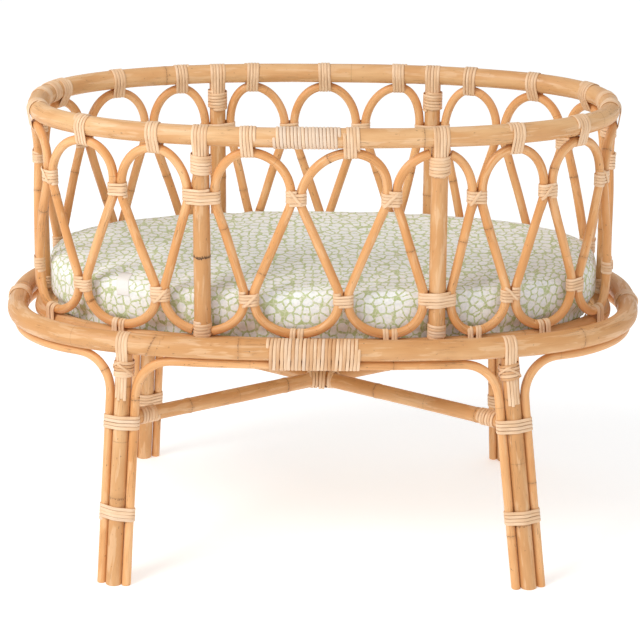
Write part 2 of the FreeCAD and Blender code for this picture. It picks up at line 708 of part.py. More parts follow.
def centre_lashing(ends):
    """Two flat loops of strip crossing over the middle of the stretchers."""
    middle = (ends["front_left"] + ends["back_right"]) * 0.5
    lean = (ends["back_right"].z - ends["front_left"].z) / (2 * ends["back_right"].y)
    loops = []
    for half_length, layer, turn in CENTRE_LOOPS:
        half_height = STRETCHER_RADIUS + layer
        loop = centred_box(half_length + STRIP_THICKNESS, half_height + STRIP_THICKNESS)
        loop = loop.cut(centred_box(half_length, half_height))
        loop.rotate(Vector(0, 0, 0), UP, turn)
        loop.rotate(Vector(0, 0, 0), Vector(1, 0, 0), math.degrees(math.atan(lean)))
        loop.translate(middle)
        loops.append(loop)
    return loops


def build_base():
    splice = BASE.distance_at_x(sum(BASE_WRAP_SPAN) / 2, -1)
    node("base_hoop", bent_ring(BASE, BASE_HEIGHT, BASE_RADIUS, splice))
    spacing = BASE_HEIGHT - ARCH_CANE_HEIGHT
    circles = [(0, BASE_RADIUS), (spacing, CANE_RADIUS)]

    def turn(distance):
        return band(BASE.at(distance, BASE_HEIGHT), UP * -1, BASE.tangent(distance), circles,
                    TURN_WIDTH, HOOP_WRAP_SLACK)

    node("base_front_wrap", *wound_span(BASE, BASE_WRAP_SPAN, turn))
    end_turns = []
    for middle in (0.0, BASE.length / 2):
        end_turns += [turn(middle + (i - (BASE_END_TURNS - 1) / 2) * STRIP_PITCH)
                      for i in range(BASE_END_TURNS)]
    node("base_end_wraps", *end_turns)


# ---- mattress ---------------------------------------------------------------------------------
def oval_block(inset, bottom, height, rounding):
    """A superellipse block with rounded edges, inset from the mattress outline."""
    curve = PlanCurve(MATTRESS_HALF_LENGTH - inset, MATTRESS_HALF_WIDTH - inset, MATTRESS_POWER)
    points = [curve.at(curve.length * i / OUTLINE_POINTS, bottom) for i in range(OUTLINE_POINTS)]
    spline = Part.BSplineCurve()
    spline.interpolate(Points=points, PeriodicFlag=True)
    block = Part.Face(Part.Wire([spline.toShape()])).extrude(Vector(0, 0, height))
    rims = [edge for edge in block.Edges if abs(edge.BoundBox.ZLength) < 0.01]
    return block.makeFillet(rounding, rims)


def build_mattress():
    outer = oval_block(0, MATTRESS_BOTTOM, MATTRESS_HEIGHT, MATTRESS_ROUNDING)
    wall = COVER_THICKNESS
    cavity = oval_block(wall, MATTRESS_BOTTOM + wall, MATTRESS_HEIGHT - 2 * wall,
                        MATTRESS_ROUNDING - wall)
    node("mattress_cover", outer.cut(cavity))
    core = wall + CLEARANCE
    node("mattress_foam", oval_block(core, MATTRESS_BOTTOM + core, MATTRESS_HEIGHT - 2 * core,
                                     MATTRESS_ROUNDING - core))
    distance = MATTRESS.distance_at_x(LABEL_X, -1)
    width, thickness, height = LABEL_SIZE
    tangent = MATTRESS.tangent(distance)
    outward = tangent.cross(UP)
    centre = MATTRESS.at(distance, LABEL_HEIGHT) + outward * LABEL_OFFSET
    label = Part.makeBox(width, thickness, height, Vector(-width / 2, -thickness, -height / 2))
    node("mattress_label", placed(label, centre, tangent, UP))


def main():
    build_rim()
    build_walls()
    build_posts()
    build_sill_and_deck()
    build_base()
    build_legs()
    build_mattress()
    os.makedirs("parts", exist_ok=True)
    for name, shape in NODES.items():
        shape.exportStep("parts/" + name + ".step")


main()
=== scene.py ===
import bpy
import math
import numpy as np
from mathutils import Matrix, Vector
from mathutils.bvhtree import BVHTree


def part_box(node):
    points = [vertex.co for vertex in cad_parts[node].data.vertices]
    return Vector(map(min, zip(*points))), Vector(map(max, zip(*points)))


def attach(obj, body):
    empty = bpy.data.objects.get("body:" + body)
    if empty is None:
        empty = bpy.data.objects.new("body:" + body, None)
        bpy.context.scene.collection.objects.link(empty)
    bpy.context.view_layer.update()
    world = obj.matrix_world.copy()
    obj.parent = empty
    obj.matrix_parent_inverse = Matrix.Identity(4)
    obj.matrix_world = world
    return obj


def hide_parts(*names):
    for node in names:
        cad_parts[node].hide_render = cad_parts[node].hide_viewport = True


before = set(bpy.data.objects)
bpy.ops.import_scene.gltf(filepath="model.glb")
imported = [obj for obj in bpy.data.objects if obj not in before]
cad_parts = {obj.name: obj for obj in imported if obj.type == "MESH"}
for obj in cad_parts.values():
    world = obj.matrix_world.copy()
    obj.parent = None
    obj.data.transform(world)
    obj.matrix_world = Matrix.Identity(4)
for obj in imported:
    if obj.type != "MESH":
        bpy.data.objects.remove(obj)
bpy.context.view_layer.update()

# Rattan cradle: every pole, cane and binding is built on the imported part's own lines.
# Paths are worked out in millimetres and written to meshes in metres.
MM = 0.001


def box_mm(node):
    low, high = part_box(node)
    return np.array(low) / MM, np.array(high) / MM


# ---- sizes shared with the part's source -----------------------------------------------------
CANE, POST, END_POST, LEG, STRETCHER = 6.0, 11.0, 8.5, 11.0, 10.0
GAP = 0.3
RIM_POWER, BASE_POWER, SILL_POWER, MATTRESS_POWER = 2.35, 2.7, 2.26, 2.32
WAIST_Z, LOWER_Z = 521.0, 385.0
TIED, SPRING = 14.0, 5.0
POST_FOOT_Z = 330.3
LEG_FOOT_Y, CORNER_BEND = 221.0, 48.0
UPPER_BAND_Z, LOWER_BAND_Z, HEAD_WRAP_Z = 221.0, 97.0, 293.0
STRETCHER_FRONT_Z, STRETCHER_BACK_Z = 223.0, 199.0
RIM_WRAP, BASE_WRAP = (-60.0, 22.0), (-68.0, 50.0)
BASE_SCARF_X = -219.0
LEGS = {"front_left": (-255.0, -273.0, -1), "front_right": (243.0, 277.0, -1),
        "back_right": (257.0, 271.0, 1), "back_left": (-250.0, -269.0, 1)}
STRIP_WIDE, STRIP_THICK, PITCH = 4.0, 1.25, 4.3


def placed(name, data):
    """A new object in the scene."""
    thing = bpy.data.objects.new(name, data)
    bpy.context.scene.collection.objects.link(thing)
    return thing


def unit(v):
    return v / np.linalg.norm(v, axis=-1, keepdims=True)


class Oval:
    """A closed superellipse, walked by distance counter-clockwise from its +X end."""

    def __init__(self, half_length, half_width, power):
        t = np.linspace(0, 2 * np.pi, 5761)
        c, s = np.cos(t), np.sin(t)
        self.xy = np.stack([half_length * np.sign(c) * np.abs(c) ** (2 / power),
                            half_width * np.sign(s) * np.abs(s) ** (2 / power)], 1)
        self.walked = np.r_[0, np.cumsum(np.linalg.norm(np.diff(self.xy, axis=0), axis=1))]
        self.length = self.walked[-1]

    def at(self, distance, height):
        d = np.mod(distance, self.length)
        x = np.interp(d, self.walked, self.xy[:, 0])
        y = np.interp(d, self.walked, self.xy[:, 1])
        return np.stack([x, y, np.broadcast_to(height, np.shape(d)).astype(float)], -1)

    def tangent(self, distance):
        return unit(self.at(np.asarray(distance) + 1.0, 0.0) - self.at(np.asarray(distance) - 1.0, 0.0))

    def distance_at_x(self, x, side):
        wrong = (self.xy[:, 1] * side < 0) * 1e6
        return self.walked[np.argmin(np.abs(self.xy[:, 0] - x) + wrong)]

    def nearest(self, point, guess):
        d = guess + np.linspace(-40, 40, 321)
        gap = np.linalg.norm(self.at(d, 0.0)[:, :2] - point[:2], axis=1)
        return d[np.argmin(gap)]


def hoop_of(node, power):
    """Curve, height and pole radius of one of the part's bent hoops."""
    low, high = box_mm(node)
    radius = (high[2] - low[2]) / 2
    return Oval(high[0] - radius, high[1] - radius, power), (low[2] + high[2]) / 2, radius


RIM, RIM_Z, RIM_R = hoop_of("top_rim", RIM_POWER)
BASE, BASE_Z, BASE_R = hoop_of("base_hoop", BASE_POWER)
SILL, SILL_Z, SILL_R = hoop_of("sill_ring", SILL_POWER)
WALL = Oval(385.0, 178.0, RIM_POWER)
ARCH_TOP_Z = RIM_Z - RIM_R - CANE - GAP
LOOP_FOOT_Z = SILL_Z + SILL_R + CANE + GAP
UNDER_HOOP_Z = BASE_Z - BASE_R - CANE - GAP

POSTS = {
    "right_end": (26.0, END_POST),
    "back_right": (WALL.distance_at_x(151, 1), POST),
    "back_left": (WALL.distance_at_x(-151, 1), POST),
    "left_end": (WALL.length / 2 - 26.0, END_POST),
    "front_left": (WALL.distance_at_x(-154, -1), POST),
    "front_right": (WALL.distance_at_x(150, -1), POST),
}
PANELS = {
    "right_back": ("right_end", "back_right", 3.0, "waist", (6, 0, -3)),
    "back_centre": ("back_right", "back_left", 3.0, "waist", (-3, 0, 2)),
    "left_back": ("back_left", "left_end", 3.0, "waist", (2, -3, -6)),
    "left_front": ("left_end", "front_left", 3.0, "waist", (12, 8, -4)),
    "front_centre": ("front_left", "front_right", 2.5, "waist", (0, 9, 0)),
    "right_front": ("front_right", "right_end", 3.5, "top", (0, 0, -3, 2)),
}


# ---- paths -----------------------------------------------------------------------------------
def walked(path):
    return np.r_[0, np.cumsum(np.linalg.norm(np.diff(path[:, :3], axis=0), axis=1))]


def sampled(path, at):
    d = walked(path)
    return np.stack([np.interp(at, d, path[:, k]) for k in range(path.shape[1])], 1)


def evened(path, step):
    length = walked(path)[-1]
    return sampled(path, np.linspace(0, length, max(2, round(length / step) + 1)))


def relaxed(path, reach, step=1.0):
    """The path with its changes of bend evened out over a reach; its ends stay put."""
    path = evened(path, step)
    half = int(3 * reach / step)
    kernel = np.exp(-0.5 * (np.arange(-half, half + 1) * step / reach) ** 2)
    kernel /= kernel.sum()
    ahead = 2 * path[0] - path[half:0:-1]
    behind = 2 * path[-1] - path[-2:-half - 2:-1]
    longer = np.concatenate([ahead, path, behind])
    return np.stack([np.convolve(longer[:, k], kernel, "valid") for k in range(path.shape[1])], 1)


def rounded(points, radii):
    """Straight runs joined by tangent arcs, as a fine polyline."""
    out = [points[0]]
    for i in range(1, len(points) - 1):
        inward, onward = unit(points[i] - points[i - 1]), unit(points[i + 1] - points[i])
        turn = math.acos(min(1.0, float(inward @ onward)))
        if turn < 1e-3:
            continue
        nearest = min(np.linalg.norm(points[i] - points[i - 1]),
                      np.linalg.norm(points[i + 1] - points[i]))
        setback = radii[i] * math.tan(turn / 2) if i in radii else 0.45 * nearest
        radius = setback / math.tan(turn / 2)
        side = unit(onward - inward * (inward @ onward))
        start = points[i] - inward * setback
        for a in np.linspace(0, turn, 13):
            out.append(start + side * radius * (1 - math.cos(a)) + inward * radius * math.sin(a))
    out.append(points[-1])
    return np.array(out)


def drift(rng, s, wavelength, amount):
    """A smooth random value that wanders along s."""
    x = (s - s.min()) / wavelength
    values = rng.uniform(-1, 1, int(x.max()) + 3)
    i = x.astype(int)
    f = x - i
    f = f * f * (3 - 2 * f)
    return amount * (values[i] * (1 - f) + values[i + 1] * f)


def carried(path):
    """Tangent and two cross directions, carried along the path without twist."""
    t = unit(np.gradient(path, axis=0))
    u = np.zeros_like(t)
    first = np.array([0, 0, 1.0]) if abs(t[0][2]) < 0.8 else np.array([0, 1.0, 0])
    u[0] = unit(first - t[0] * (first @ t[0]))
    for i in range(1, len(t)):
        u[i] = unit(u[i - 1] - t[i] * (u[i - 1] @ t[i]))
    return t, u, np.cross(t, u)


# ---- mesh building ---------------------------------------------------------------------------
class Shell:
    """Collects the tubes and strips of one piece, with the values its material reads."""

    def __init__(self, seed):
        self.rng = np.random.default_rng(seed)
        self.points, self.faces, self.grain, self.knot, self.tint = [], [], [], [], []
        self.count = 0

    def add(self, grid, grain, knot, tint, closed_ends=True):
        """A grid of rings: faces between them, and a cap at each end."""
        rings, sides = grid.shape[:2]
        base = self.count
        index = base + np.arange(rings * sides).reshape(rings, sides)
        nxt = np.roll(index, -1, axis=1)
        quads = np.stack([index[:-1], nxt[:-1], nxt[1:], index[1:]], -1).reshape(-1, 4)
        self.faces += quads.tolist()
        if closed_ends:
            self.faces.append(index[0][::-1].tolist())
            self.faces.append(index[-1].tolist())
        self.points.append(grid.reshape(-1, 3))
        self.grain.append(grain.reshape(-1, 3))
        self.knot.append(np.broadcast_to(knot, (rings, sides)).reshape(-1))
        self.tint.append(np.broadcast_to(tint, (rings, sides)).reshape(-1))
        self.count += rings * sides

    def make(self, name, node, slot, material, body="frame"):
        mesh = bpy.data.meshes.new(name)
        points = np.concatenate(self.points) * MM
        mesh.from_pydata(points.tolist(), [], self.faces)
        for label, kind, key, values in (("grain", "FLOAT_VECTOR", "vector", self.grain),
                                         ("knot", "FLOAT", "value", self.knot),
                                         ("tint", "FLOAT", "value", self.tint)):
            attribute = mesh.attributes.new(label, kind, "POINT")
            attribute.data.foreach_set(key, np.concatenate(values).astype(np.float32).ravel())
        mesh.polygons.foreach_set("use_smooth", np.ones(len(mesh.polygons), bool))
        mesh.materials.append(material)
        mesh.update()
        piece = placed(name, mesh)
        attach(piece, body)
        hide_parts(*([node] if isinstance(node, str) else node))
        return piece


def add_pole(shell, path, radius, sides=24, step=3.0, knots=(), swell=0.3, trim=None,
             uneven=0.02, tint=None, scarf=None, bold=1.0):
    """A rattan pole or cane along a path, its joints swollen slightly, its ends cut.

    bold widens the dark line of each joint.
    """
    rng = shell.rng
    length = walked(path)[-1]
    knots = np.array([k for k in knots if 8 < k < length - 8])
    s = np.linspace(0, length, max(3, round(length / step) + 1))
    near_ends = np.array([0.5, 1.4, length - 1.4, length - 0.5])
    beside = (knots[:, None] + np.array([-10, -3, -1.6, 0, 1.6, 3, 10])).ravel()
    if scarf is not None:
        beside = np.r_[beside, scarf + np.arange(-12, 12.1, 0.8)]
    s = np.unique(np.round(np.clip(np.r_[s, near_ends, beside], 0, length), 2))
    centre = sampled(path, s)
    _, u, w = carried(centre)
    if len(knots):
        away = s[:, None] - knots[None]
        knot = np.clip(away[np.arange(len(s)), np.abs(away).argmin(1)], -10, 10)
    else:
        knot = np.full(len(s), 10.0)
    size = radius * (1 + drift(rng, s, 90.0, uneven)) + swell * np.exp(-(knot / 3.2) ** 2)
    size *= np.interp(np.minimum(s, length - s), [0, 0.5, 1.4], [0.9, 0.97, 1.0])
    angle = np.linspace(0, 2 * np.pi, sides, endpoint=False)
    oval = 1 + 0.012 * np.cos(2 * angle[None] + drift(rng, s, 140.0, 3.0)[:, None])
    reach = (size[:, None] * oval)[..., None]
    out = np.cos(angle)[None, :, None] * u[:, None] + np.sin(angle)[None, :, None] * w[:, None]
    grid = centre[:, None] + out * reach
    if trim:
        grid = trim(grid)
    grain = np.stack([np.broadcast_to(s[:, None], grid.shape[:2]),
                      np.broadcast_to(radius * np.cos(angle)[None], grid.shape[:2]),
                      np.broadcast_to(radius * np.sin(angle)[None], grid.shape[:2])], -1)
    grain = grain + rng.uniform(-400, 400, 3)
    shade = rng.random() if tint is None else tint
    knot = np.broadcast_to(knot[:, None] / bold, grid.shape[:2])
    if scarf is not None:
        slant = s[:, None] - scarf - 6.5 * np.cos(angle)[None]
        knot = np.where(np.abs(slant) < np.abs(knot), np.clip(slant * 0.6, -10, 10), knot)
    shell.add(grid, grain, knot, shade)


def joints(rng, length, low, high):
    """Places of the joints along a cane, at uneven spacings."""
    found, at = [], rng.uniform(0.3, 1.0) * low
    while at < length:
        found.append(at)
        at += rng.uniform(low, high)
    return found


PROFILE = np.array([(-0.5, 0.2), (-0.47, 0.66), (-0.34, 0.93), (0, 1.04), (0.34, 0.93), (0.47, 0.66),
                    (0.5, 0.2), (0.36, 0.0), (-0.36, 0.0)])


def add_strip(shell, centre, normal, width=STRIP_WIDE, thick=STRIP_THICK, tint=0.5):
    """A flat split-cane strip lying along a path, domed on its outer face."""
    tangent = unit(np.gradient(centre, axis=0))
    normal = unit(normal - tangent * np.sum(normal * tangent, 1)[:, None])
    side = np.cross(tangent, normal)
    s = walked(centre)
    width = np.broadcast_to(width, s.shape)
    across = PROFILE[None, :, 0] * width[:, None]
    high = np.broadcast_to(PROFILE[None, :, 1] * thick, across.shape)
    grid = centre[:, None] + side[:, None] * across[..., None] + normal[:, None] * high[..., None]
    grain = np.stack([np.broadcast_to(s[:, None], across.shape), across, high], -1)
    grain = grain + shell.rng.uniform(-400, 400, 3)
    tint = np.broadcast_to(tint, s.shape)
    shell.add(grid[:, ::-1], grain[:, ::-1], 10.0, tint[:, None])


def hull(circles, grow):
    """Perimeter of the outline round circles in a row, and a lookup of points and normals."""
    angle = np.linspace(0, 2 * np.pi, 1441)
    x = np.array([c[0] for c in circles])[:, None]
    r = np.array([c[1] + grow for c in circles])[:, None]
    best = np.argmax(x * np.cos(angle) + r, axis=0)
    px = x[best, 0] + r[best, 0] * np.cos(angle)
    py = r[best, 0] * np.sin(angle)
    d = np.r_[0, np.cumsum(np.hypot(np.diff(px), np.diff(py)))]

    def look(u):
        at = np.mod(u, 1.0) * d[-1]
        return [np.interp(at, d, v) for v in (px, py, np.cos(angle), np.sin(angle))]
    return d[-1], look


def fixed(centre, along, axis):
    """A place for a binding on straight canes: along their row, and along their length."""
    across = np.cross(axis, along)

    def place(lateral):
        ones = np.ones((len(lateral), 1))
        return centre + axis * lateral[:, None], along * ones, across * ones, axis * ones
    return place


def add_wrap(shell, place, circles, turns, pitch=PITCH, width=STRIP_WIDE, lift=0.1, start=None,
             tint=0.5, vary=0.18, wander=0.22, tuck=0.06, shift=0.0):
    """A strip wound turn beside turn round one or more canes, its ends tucked under."""
    rng = shell.rng
    perimeter, outline = hull(circles, lift)
    t = np.linspace(0, turns, max(16, int(turns * perimeter / 2.3)))
    hand = 1 if rng.random() < 0.5 else -1
    begin = rng.random() if start is None else start
    lateral = (t - turns / 2) * pitch * hand + drift(rng, t, 0.35, wander) + shift
    ends = np.clip(np.minimum(t, turns - t) / tuck, 0, 1) if tuck else np.ones_like(t)
    rise = (ends * ends * (3 - 2 * ends) - 1) * (STRIP_THICK + lift + 0.3)
    rise = rise + np.abs(drift(rng, t, 0.3, 0.22))
    x, y, nx, ny = outline(begin + t)
    origin, e1, e2, _ = place(lateral)
    normal = e1 * nx[:, None] + e2 * ny[:, None]
    centre = origin + e1 * x[:, None] + e2 * y[:, None] + normal * rise[:, None]
    wide = width * (1 + drift(rng, t, 0.8, 0.07))
    shade = np.clip(tint + drift(rng, t, 0.9, vary), 0, 1)
    add_strip(shell, centre, normal, wide, STRIP_THICK, shade)


def add_crossing(shell, place, circles, begin, end, low, high, lift=STRIP_THICK + 0.2, tint=0.6,
                 width=STRIP_WIDE):
    """One strand laid slantwise over a binding, both ends tucked."""
    perimeter, outline = hull(circles, lift)
    t = np.linspace(0, 1, max(8, int(abs(end - begin) * perimeter / 1.8)))
    ease = t * t * (3 - 2 * t)
    x, y, nx, ny = outline(begin + (end - begin) * t)
    origin, e1, e2, _ = place(low + (high - low) * ease)
    normal = e1 * nx[:, None] + e2 * ny[:, None]
    ends = np.clip(np.minimum(t, 1 - t) / 0.16, 0, 1)
    dip = (ends * ends * (3 - 2 * ends) - 1) * (lift + 0.9)
    centre = origin + e1 * x[:, None] + e2 * y[:, None] + normal * dip[:, None]
    add_strip(shell, centre, normal, width, STRIP_THICK, tint)


def add_strap(shell, rail, axis, rail_radius, pole_at, pole_radius, strands, drop_front, drop_back,
              pitch=PITCH, tint=0.55):
    """Strands laid side by side over a rail, both ends running down the pole below."""
    rng = shell.rng
    up = np.array([0, 0, 1.0])
    out = unit(np.cross(axis, up))
    for i in range(strands):
        y = (i - (strands - 1) / 2) * pitch + rng.uniform(-0.2, 0.2)
        phi = y / (pole_radius + 0.8)
        rows = []

        def down_pole(drop, side):
            n = out * side * math.cos(phi) + axis * math.sin(phi)
            return np.r_[pole_at(drop) + n * (pole_radius + 0.15), n]
        front = drop_front + rng.uniform(-3, 3)
        back = drop_back + rng.uniform(-3, 3)
        for drop in np.linspace(front, rail_radius + 8, 5):
            rows.append(down_pole(drop, 1))
        for a in np.linspace(-0.25, math.pi + 0.25, 13):
            n = out * math.cos(a) + up * math.sin(a)
            rows.append(np.r_[rail + n * (rail_radius + 0.12) + axis * y, n])
        for drop in np.linspace(rail_radius + 8, back, 5):
            rows.append(down_pole(drop, -1))
        path = evened(relaxed(np.array(rows), 2.2), 2.0)
        wide = STRIP_WIDE * (1 + drift(rng, walked(path), 25.0, 0.06))
        add_strip(shell, path[:, :3], path[:, 3:], wide, STRIP_THICK,
                  np.clip(tint + rng.uniform(-0.2, 0.2), 0, 1))


# ---- materials -------------------------------------------------------------------------------
def colour(r, g, b):
    """Linear colour from 0-255 sRGB."""
    linear = [((c / 255 + 0.055) / 1.055) ** 2.4 if c > 10 else c / 255 / 12.92 for c in (r, g, b)]
    return (*linear, 1.0)


class Paint:
    """A node material, wired in short calls."""

    def __init__(self, name):
        self.material = bpy.data.materials.new(name)
        self.material.use_nodes = True
        self.tree = self.material.node_tree
        self.shader = self.tree.nodes["Principled BSDF"]

    def put(self, socket, value):
        if isinstance(value, bpy.types.NodeSocket):
            self.tree.links.new(value, socket)
        else:
            socket.default_value = value

    def node(self, kind, inputs, out=0, **settings):
        node = self.tree.nodes.new("ShaderNode" + kind)
        for key, value in settings.items():
            setattr(node, key, value)
        for key, value in inputs.items():
            self.put(node.inputs[key], value)
        return node.outputs[out]

    def value(self, name):
        return self.node("Attribute", {}, "Fac", attribute_name=name)

    def vector(self, name):
        return self.node("Attribute", {}, "Vector", attribute_name=name)

    def scaled(self, vector, x, y, z):
        return self.node("VectorMath", {0: vector, 1: (x, y, z)}, operation="MULTIPLY")

    def noise(self, vector, scale=1.0, detail=2.0, rough=0.5, distortion=0.0):
        return self.node("TexNoise", {"Vector": vector, "Scale": scale, "Detail": detail,
                                      "Roughness": rough, "Distortion": distortion}, "Fac")

    def math(self, operation, a, b=0.0, clamp=False):
        return self.node("Math", {0: a, 1: b}, operation=operation, use_clamp=clamp)

    def between(self, value, low, high, to_low=0.0, to_high=1.0):
        return self.node("MapRange", {"Value": value, "From Min": low, "From Max": high,
                                      "To Min": to_low, "To Max": to_high},
                         interpolation_type="SMOOTHSTEP")

    def mix(self, share, a, b, mode="MIX"):
        node = self.tree.nodes.new("ShaderNodeMix")
        node.data_type, node.blend_type = "RGBA", mode
        self.put(node.inputs[0], share)
        self.put(node.inputs[6], a)
        self.put(node.inputs[7], b)
        return node.outputs[2]

    def bump(self, height, strength, distance, before=None):
        inputs = {"Height": height, "Strength": strength, "Distance": distance}
        if before:
            inputs["Normal"] = before
        return self.node("Bump", inputs)

    def finish(self, **inputs):
        for key, value in inputs.items():
            self.put(self.shader.inputs[key.replace("_", " ")], value)
        return self.material


def rattan(name, light, deep, skin, streak, joint, streaks, gloss, ring=0.62):
    """Rattan: long fibre streaks, patches of glossy skin, dark joints and fine cracks."""
    p = Paint(name)
    grain, tint = p.vector("grain"), p.value("tint")
    slow = p.noise(p.scaled(grain, 0.012, 0.05, 0.05), 1.0, 2.0)
    fibre = p.noise(p.scaled(grain, 0.02, 1.1, 1.1), 1.0, 3.0, 0.6)
    fine = p.noise(p.scaled(grain, 0.06, 3.4, 3.4), 1.0, 2.0, 0.6)
    tone = p.math("ADD", p.math("MULTIPLY", slow, 1.1), p.math("MULTIPLY", tint, 0.36))
    body = p.mix(p.between(tone, 0.42, 1.0), light, deep)
    patch = p.between(p.noise(p.scaled(grain, 0.018, 0.12, 0.12), 1.0, 3.0, 0.55, 0.4), 0.52, 0.6)
    body = p.mix(p.math("MULTIPLY", patch, 0.5), body, skin)
    body = p.mix(p.between(fibre, 0.52, 0.8, 0.0, streaks), body, streak)
    body = p.mix(p.between(fine, 0.3, 0.5, 0.22, 0.0), body, streak)
    crack_noise = p.noise(p.scaled(grain, 0.016, 0.55, 0.55), 1.0, 1.0)
    crack = p.math("ABSOLUTE", p.math("SUBTRACT", crack_noise, 0.5))
    where = p.between(p.noise(p.scaled(grain, 0.02, 0.05, 0.05), 1.0, 1.0), 0.55, 0.66)
    crack = p.math("MULTIPLY", p.between(crack, 0.004, 0.012, 1.0, 0.0), where)
    body = p.mix(p.math("MULTIPLY", crack, 0.6), body, joint)
    speck = p.between(p.noise(p.scaled(grain, 0.16, 0.3, 0.3), 1.0, 2.0), 0.69, 0.76)
    body = p.mix(p.math("MULTIPLY", speck, 0.55), body, joint)
    ragged = p.noise(p.scaled(grain, 0.25, 0.5, 0.5), 1.0, 3.0, 0.6)
    away = p.math("ABSOLUTE", p.math("ADD", p.value("knot"),
                                     p.math("MULTIPLY", p.math("SUBTRACT", ragged, 0.5), 4.6)))
    line = p.between(away, 0.25, 1.0, 1.0, 0.0)
    halo = p.between(away, 0.6, 6.0, 1.0, 0.0)
    broken = p.between(ragged, 0.38, 0.6, 0.15 + 0.6 * (ring > 0.9), 1.0)
    body = p.mix(p.math("MULTIPLY", halo, 0.22), body, streak)
    body = p.mix(p.math("MULTIPLY", p.math("MULTIPLY", line, broken), ring), body, joint)
    height = p.math("ADD", p.math("MULTIPLY", fibre, 0.35), p.math("MULTIPLY", fine, 0.35))
    height = p.math("SUBTRACT", height, p.math("MULTIPLY", line, 0.9))
    height = p.math("SUBTRACT", height, p.math("MULTIPLY", crack, 0.8))
    normal = p.bump(height, 0.5, 0.0006)
    rough = p.between(patch, 0.0, 1.0, gloss + 0.14, gloss)
    return p.finish(Base_Color=body, Roughness=rough, Normal=normal, Coat_Weight=0.12,
                    Coat_Roughness=0.25, Specular_IOR_Level=0.4)


def binding_material():
    """Split-cane strip: pale, fine fibres along it, some turns greyer or browner."""
    p = Paint("binding_cane")
    grain, tint = p.vector("grain"), p.value("tint")
    fibre = p.noise(p.scaled(grain, 0.03, 1.6, 1.6), 1.0, 3.0, 0.6)
    fine = p.noise(p.scaled(grain, 0.1, 4.5, 1.0), 1.0, 1.0)
    slow = p.noise(p.scaled(grain, 0.035, 0.1, 0.1), 1.0, 2.0)
    body = p.mix(p.between(slow, 0.3, 0.7), colour(244, 210, 174), colour(232, 192, 150))
    body = p.mix(p.between(tint, 0.5, 1.0, 0.0, 0.85), body, colour(208, 156, 106))
    body = p.mix(p.between(tint, 0.0, 0.42, 0.9, 0.0), body, colour(232, 210, 188))
    body = p.mix(p.between(fibre, 0.5, 0.78, 0.0, 0.5), body, colour(190, 136, 86))
    body = p.mix(p.between(fine, 0.28, 0.5, 0.25, 0.0), body, colour(186, 132, 84))
    height = p.math("ADD", p.math("MULTIPLY", fibre, 0.5), p.math("MULTIPLY", fine, 0.4))
    normal = p.bump(height, 0.5, 0.0005)
    return p.finish(Base_Color=body, Roughness=p.between(slow, 0.3, 0.7, 0.5, 0.36), Normal=normal,
                    Coat_Weight=0.08, Coat_Roughness=0.3, Specular_IOR_Level=0.4)


def print_material():
    """Cotton with a leafy print: pale petals on sage green, drawn in the cloth's own plan."""
    p = Paint("printed_cotton")
    cloth = p.node("UVMap", {}, uv_map="print")
    plan = p.scaled(cloth, 1000.0, 1000.0, 0.0)
    push = p.node("TexNoise", {"Vector": plan, "Scale": 0.11, "Detail": 2.0}, "Color")
    push = p.node("VectorMath", {0: push, 1: (0.5, 0.5, 0.5)}, operation="SUBTRACT")
    bent = p.node("VectorMath", {0: plan, 1: p.scaled(push, 5.0, 5.0, 0.0)}, operation="ADD")

    def cells(size, randomness, feature, out, vector):
        return p.node("TexVoronoi", {"Vector": vector, "Scale": 1 / size, "Randomness": randomness}, out,
                      voronoi_dimensions="2D", feature=feature)

    edge = cells(12.5, 0.82, "DISTANCE_TO_EDGE", "Distance", bent)
    middle = cells(12.5, 0.82, "F1", "Distance", bent)
    own = cells(12.5, 0.82, "F1", "Color", bent)
    size = p.node("SeparateColor", {"Color": own}, "Red")
    nibble = p.noise(plan, 0.42, 2.0)
    edge = p.math("ADD", edge, p.math("MULTIPLY", p.math("SUBTRACT", nibble, 0.5), 0.09))
    petal = p.math("MULTIPLY", p.between(edge, 0.075, 0.11),
                   p.between(p.math("ADD", middle, p.math("MULTIPLY", size, 0.1)), 0.64, 0.58))
    offset = p.node("VectorMath", {0: bent, 1: (211.0, 87.0, 0.0)}, operation="ADD")
    small_edge = cells(6.2, 0.9, "DISTANCE_TO_EDGE", "Distance", offset)
    vein = p.between(small_edge, 0.035, 0.1, 1.0, 0.0)
    bud = p.between(cells(7.6, 1.0, "F1", "Distance", offset), 0.2, 0.27, 1.0, 0.0)
    wash = p.noise(plan, 0.05, 2.0)
    ground = p.mix(p.between(wash, 0.3, 0.7), colour(184, 198, 140), colour(198, 211, 162))
    ground = p.mix(p.math("MULTIPLY", vein, 0.55), ground, colour(236, 236, 222))
    ground = p.mix(p.math("MULTIPLY", bud, 0.75), ground, colour(238, 236, 226))
    shade = p.noise(plan, 0.22, 2.0)
    white = p.mix(p.between(shade, 0.35, 0.65), colour(250, 252, 250), colour(236, 240, 240))
    body = p.mix(petal, ground, white)
    yarn = p.node("TexWave", {"Vector": plan, "Scale": 0.62, "Distortion": 0.6, "Detail": 1.0},
                  "Fac", wave_type="BANDS", bands_direction="X")
    pick = p.node("TexWave", {"Vector": plan, "Scale": 0.62, "Distortion": 0.6, "Detail": 1.0},
                  "Fac", wave_type="BANDS", bands_direction="Y")
    weave = p.math("MAXIMUM", yarn, pick)
    # painted shade: the cloth is darkened towards grey in the hollows between the yarns, where the weave
    # is lowest
    body = p.mix(p.between(weave, 0.2, 0.9, 0.12, 0.0), body, colour(190, 188, 175))
    height = p.math("ADD", p.math("MULTIPLY", weave, 0.25), p.math("MULTIPLY", shade, 0.6))
    normal = p.bump(height, 0.4, 0.0006)
    return p.finish(Base_Color=body, Roughness=0.85, Normal=normal, Sheen_Weight=0.15,
                    Sheen_Roughness=0.5, Specular_IOR_Level=0.2)


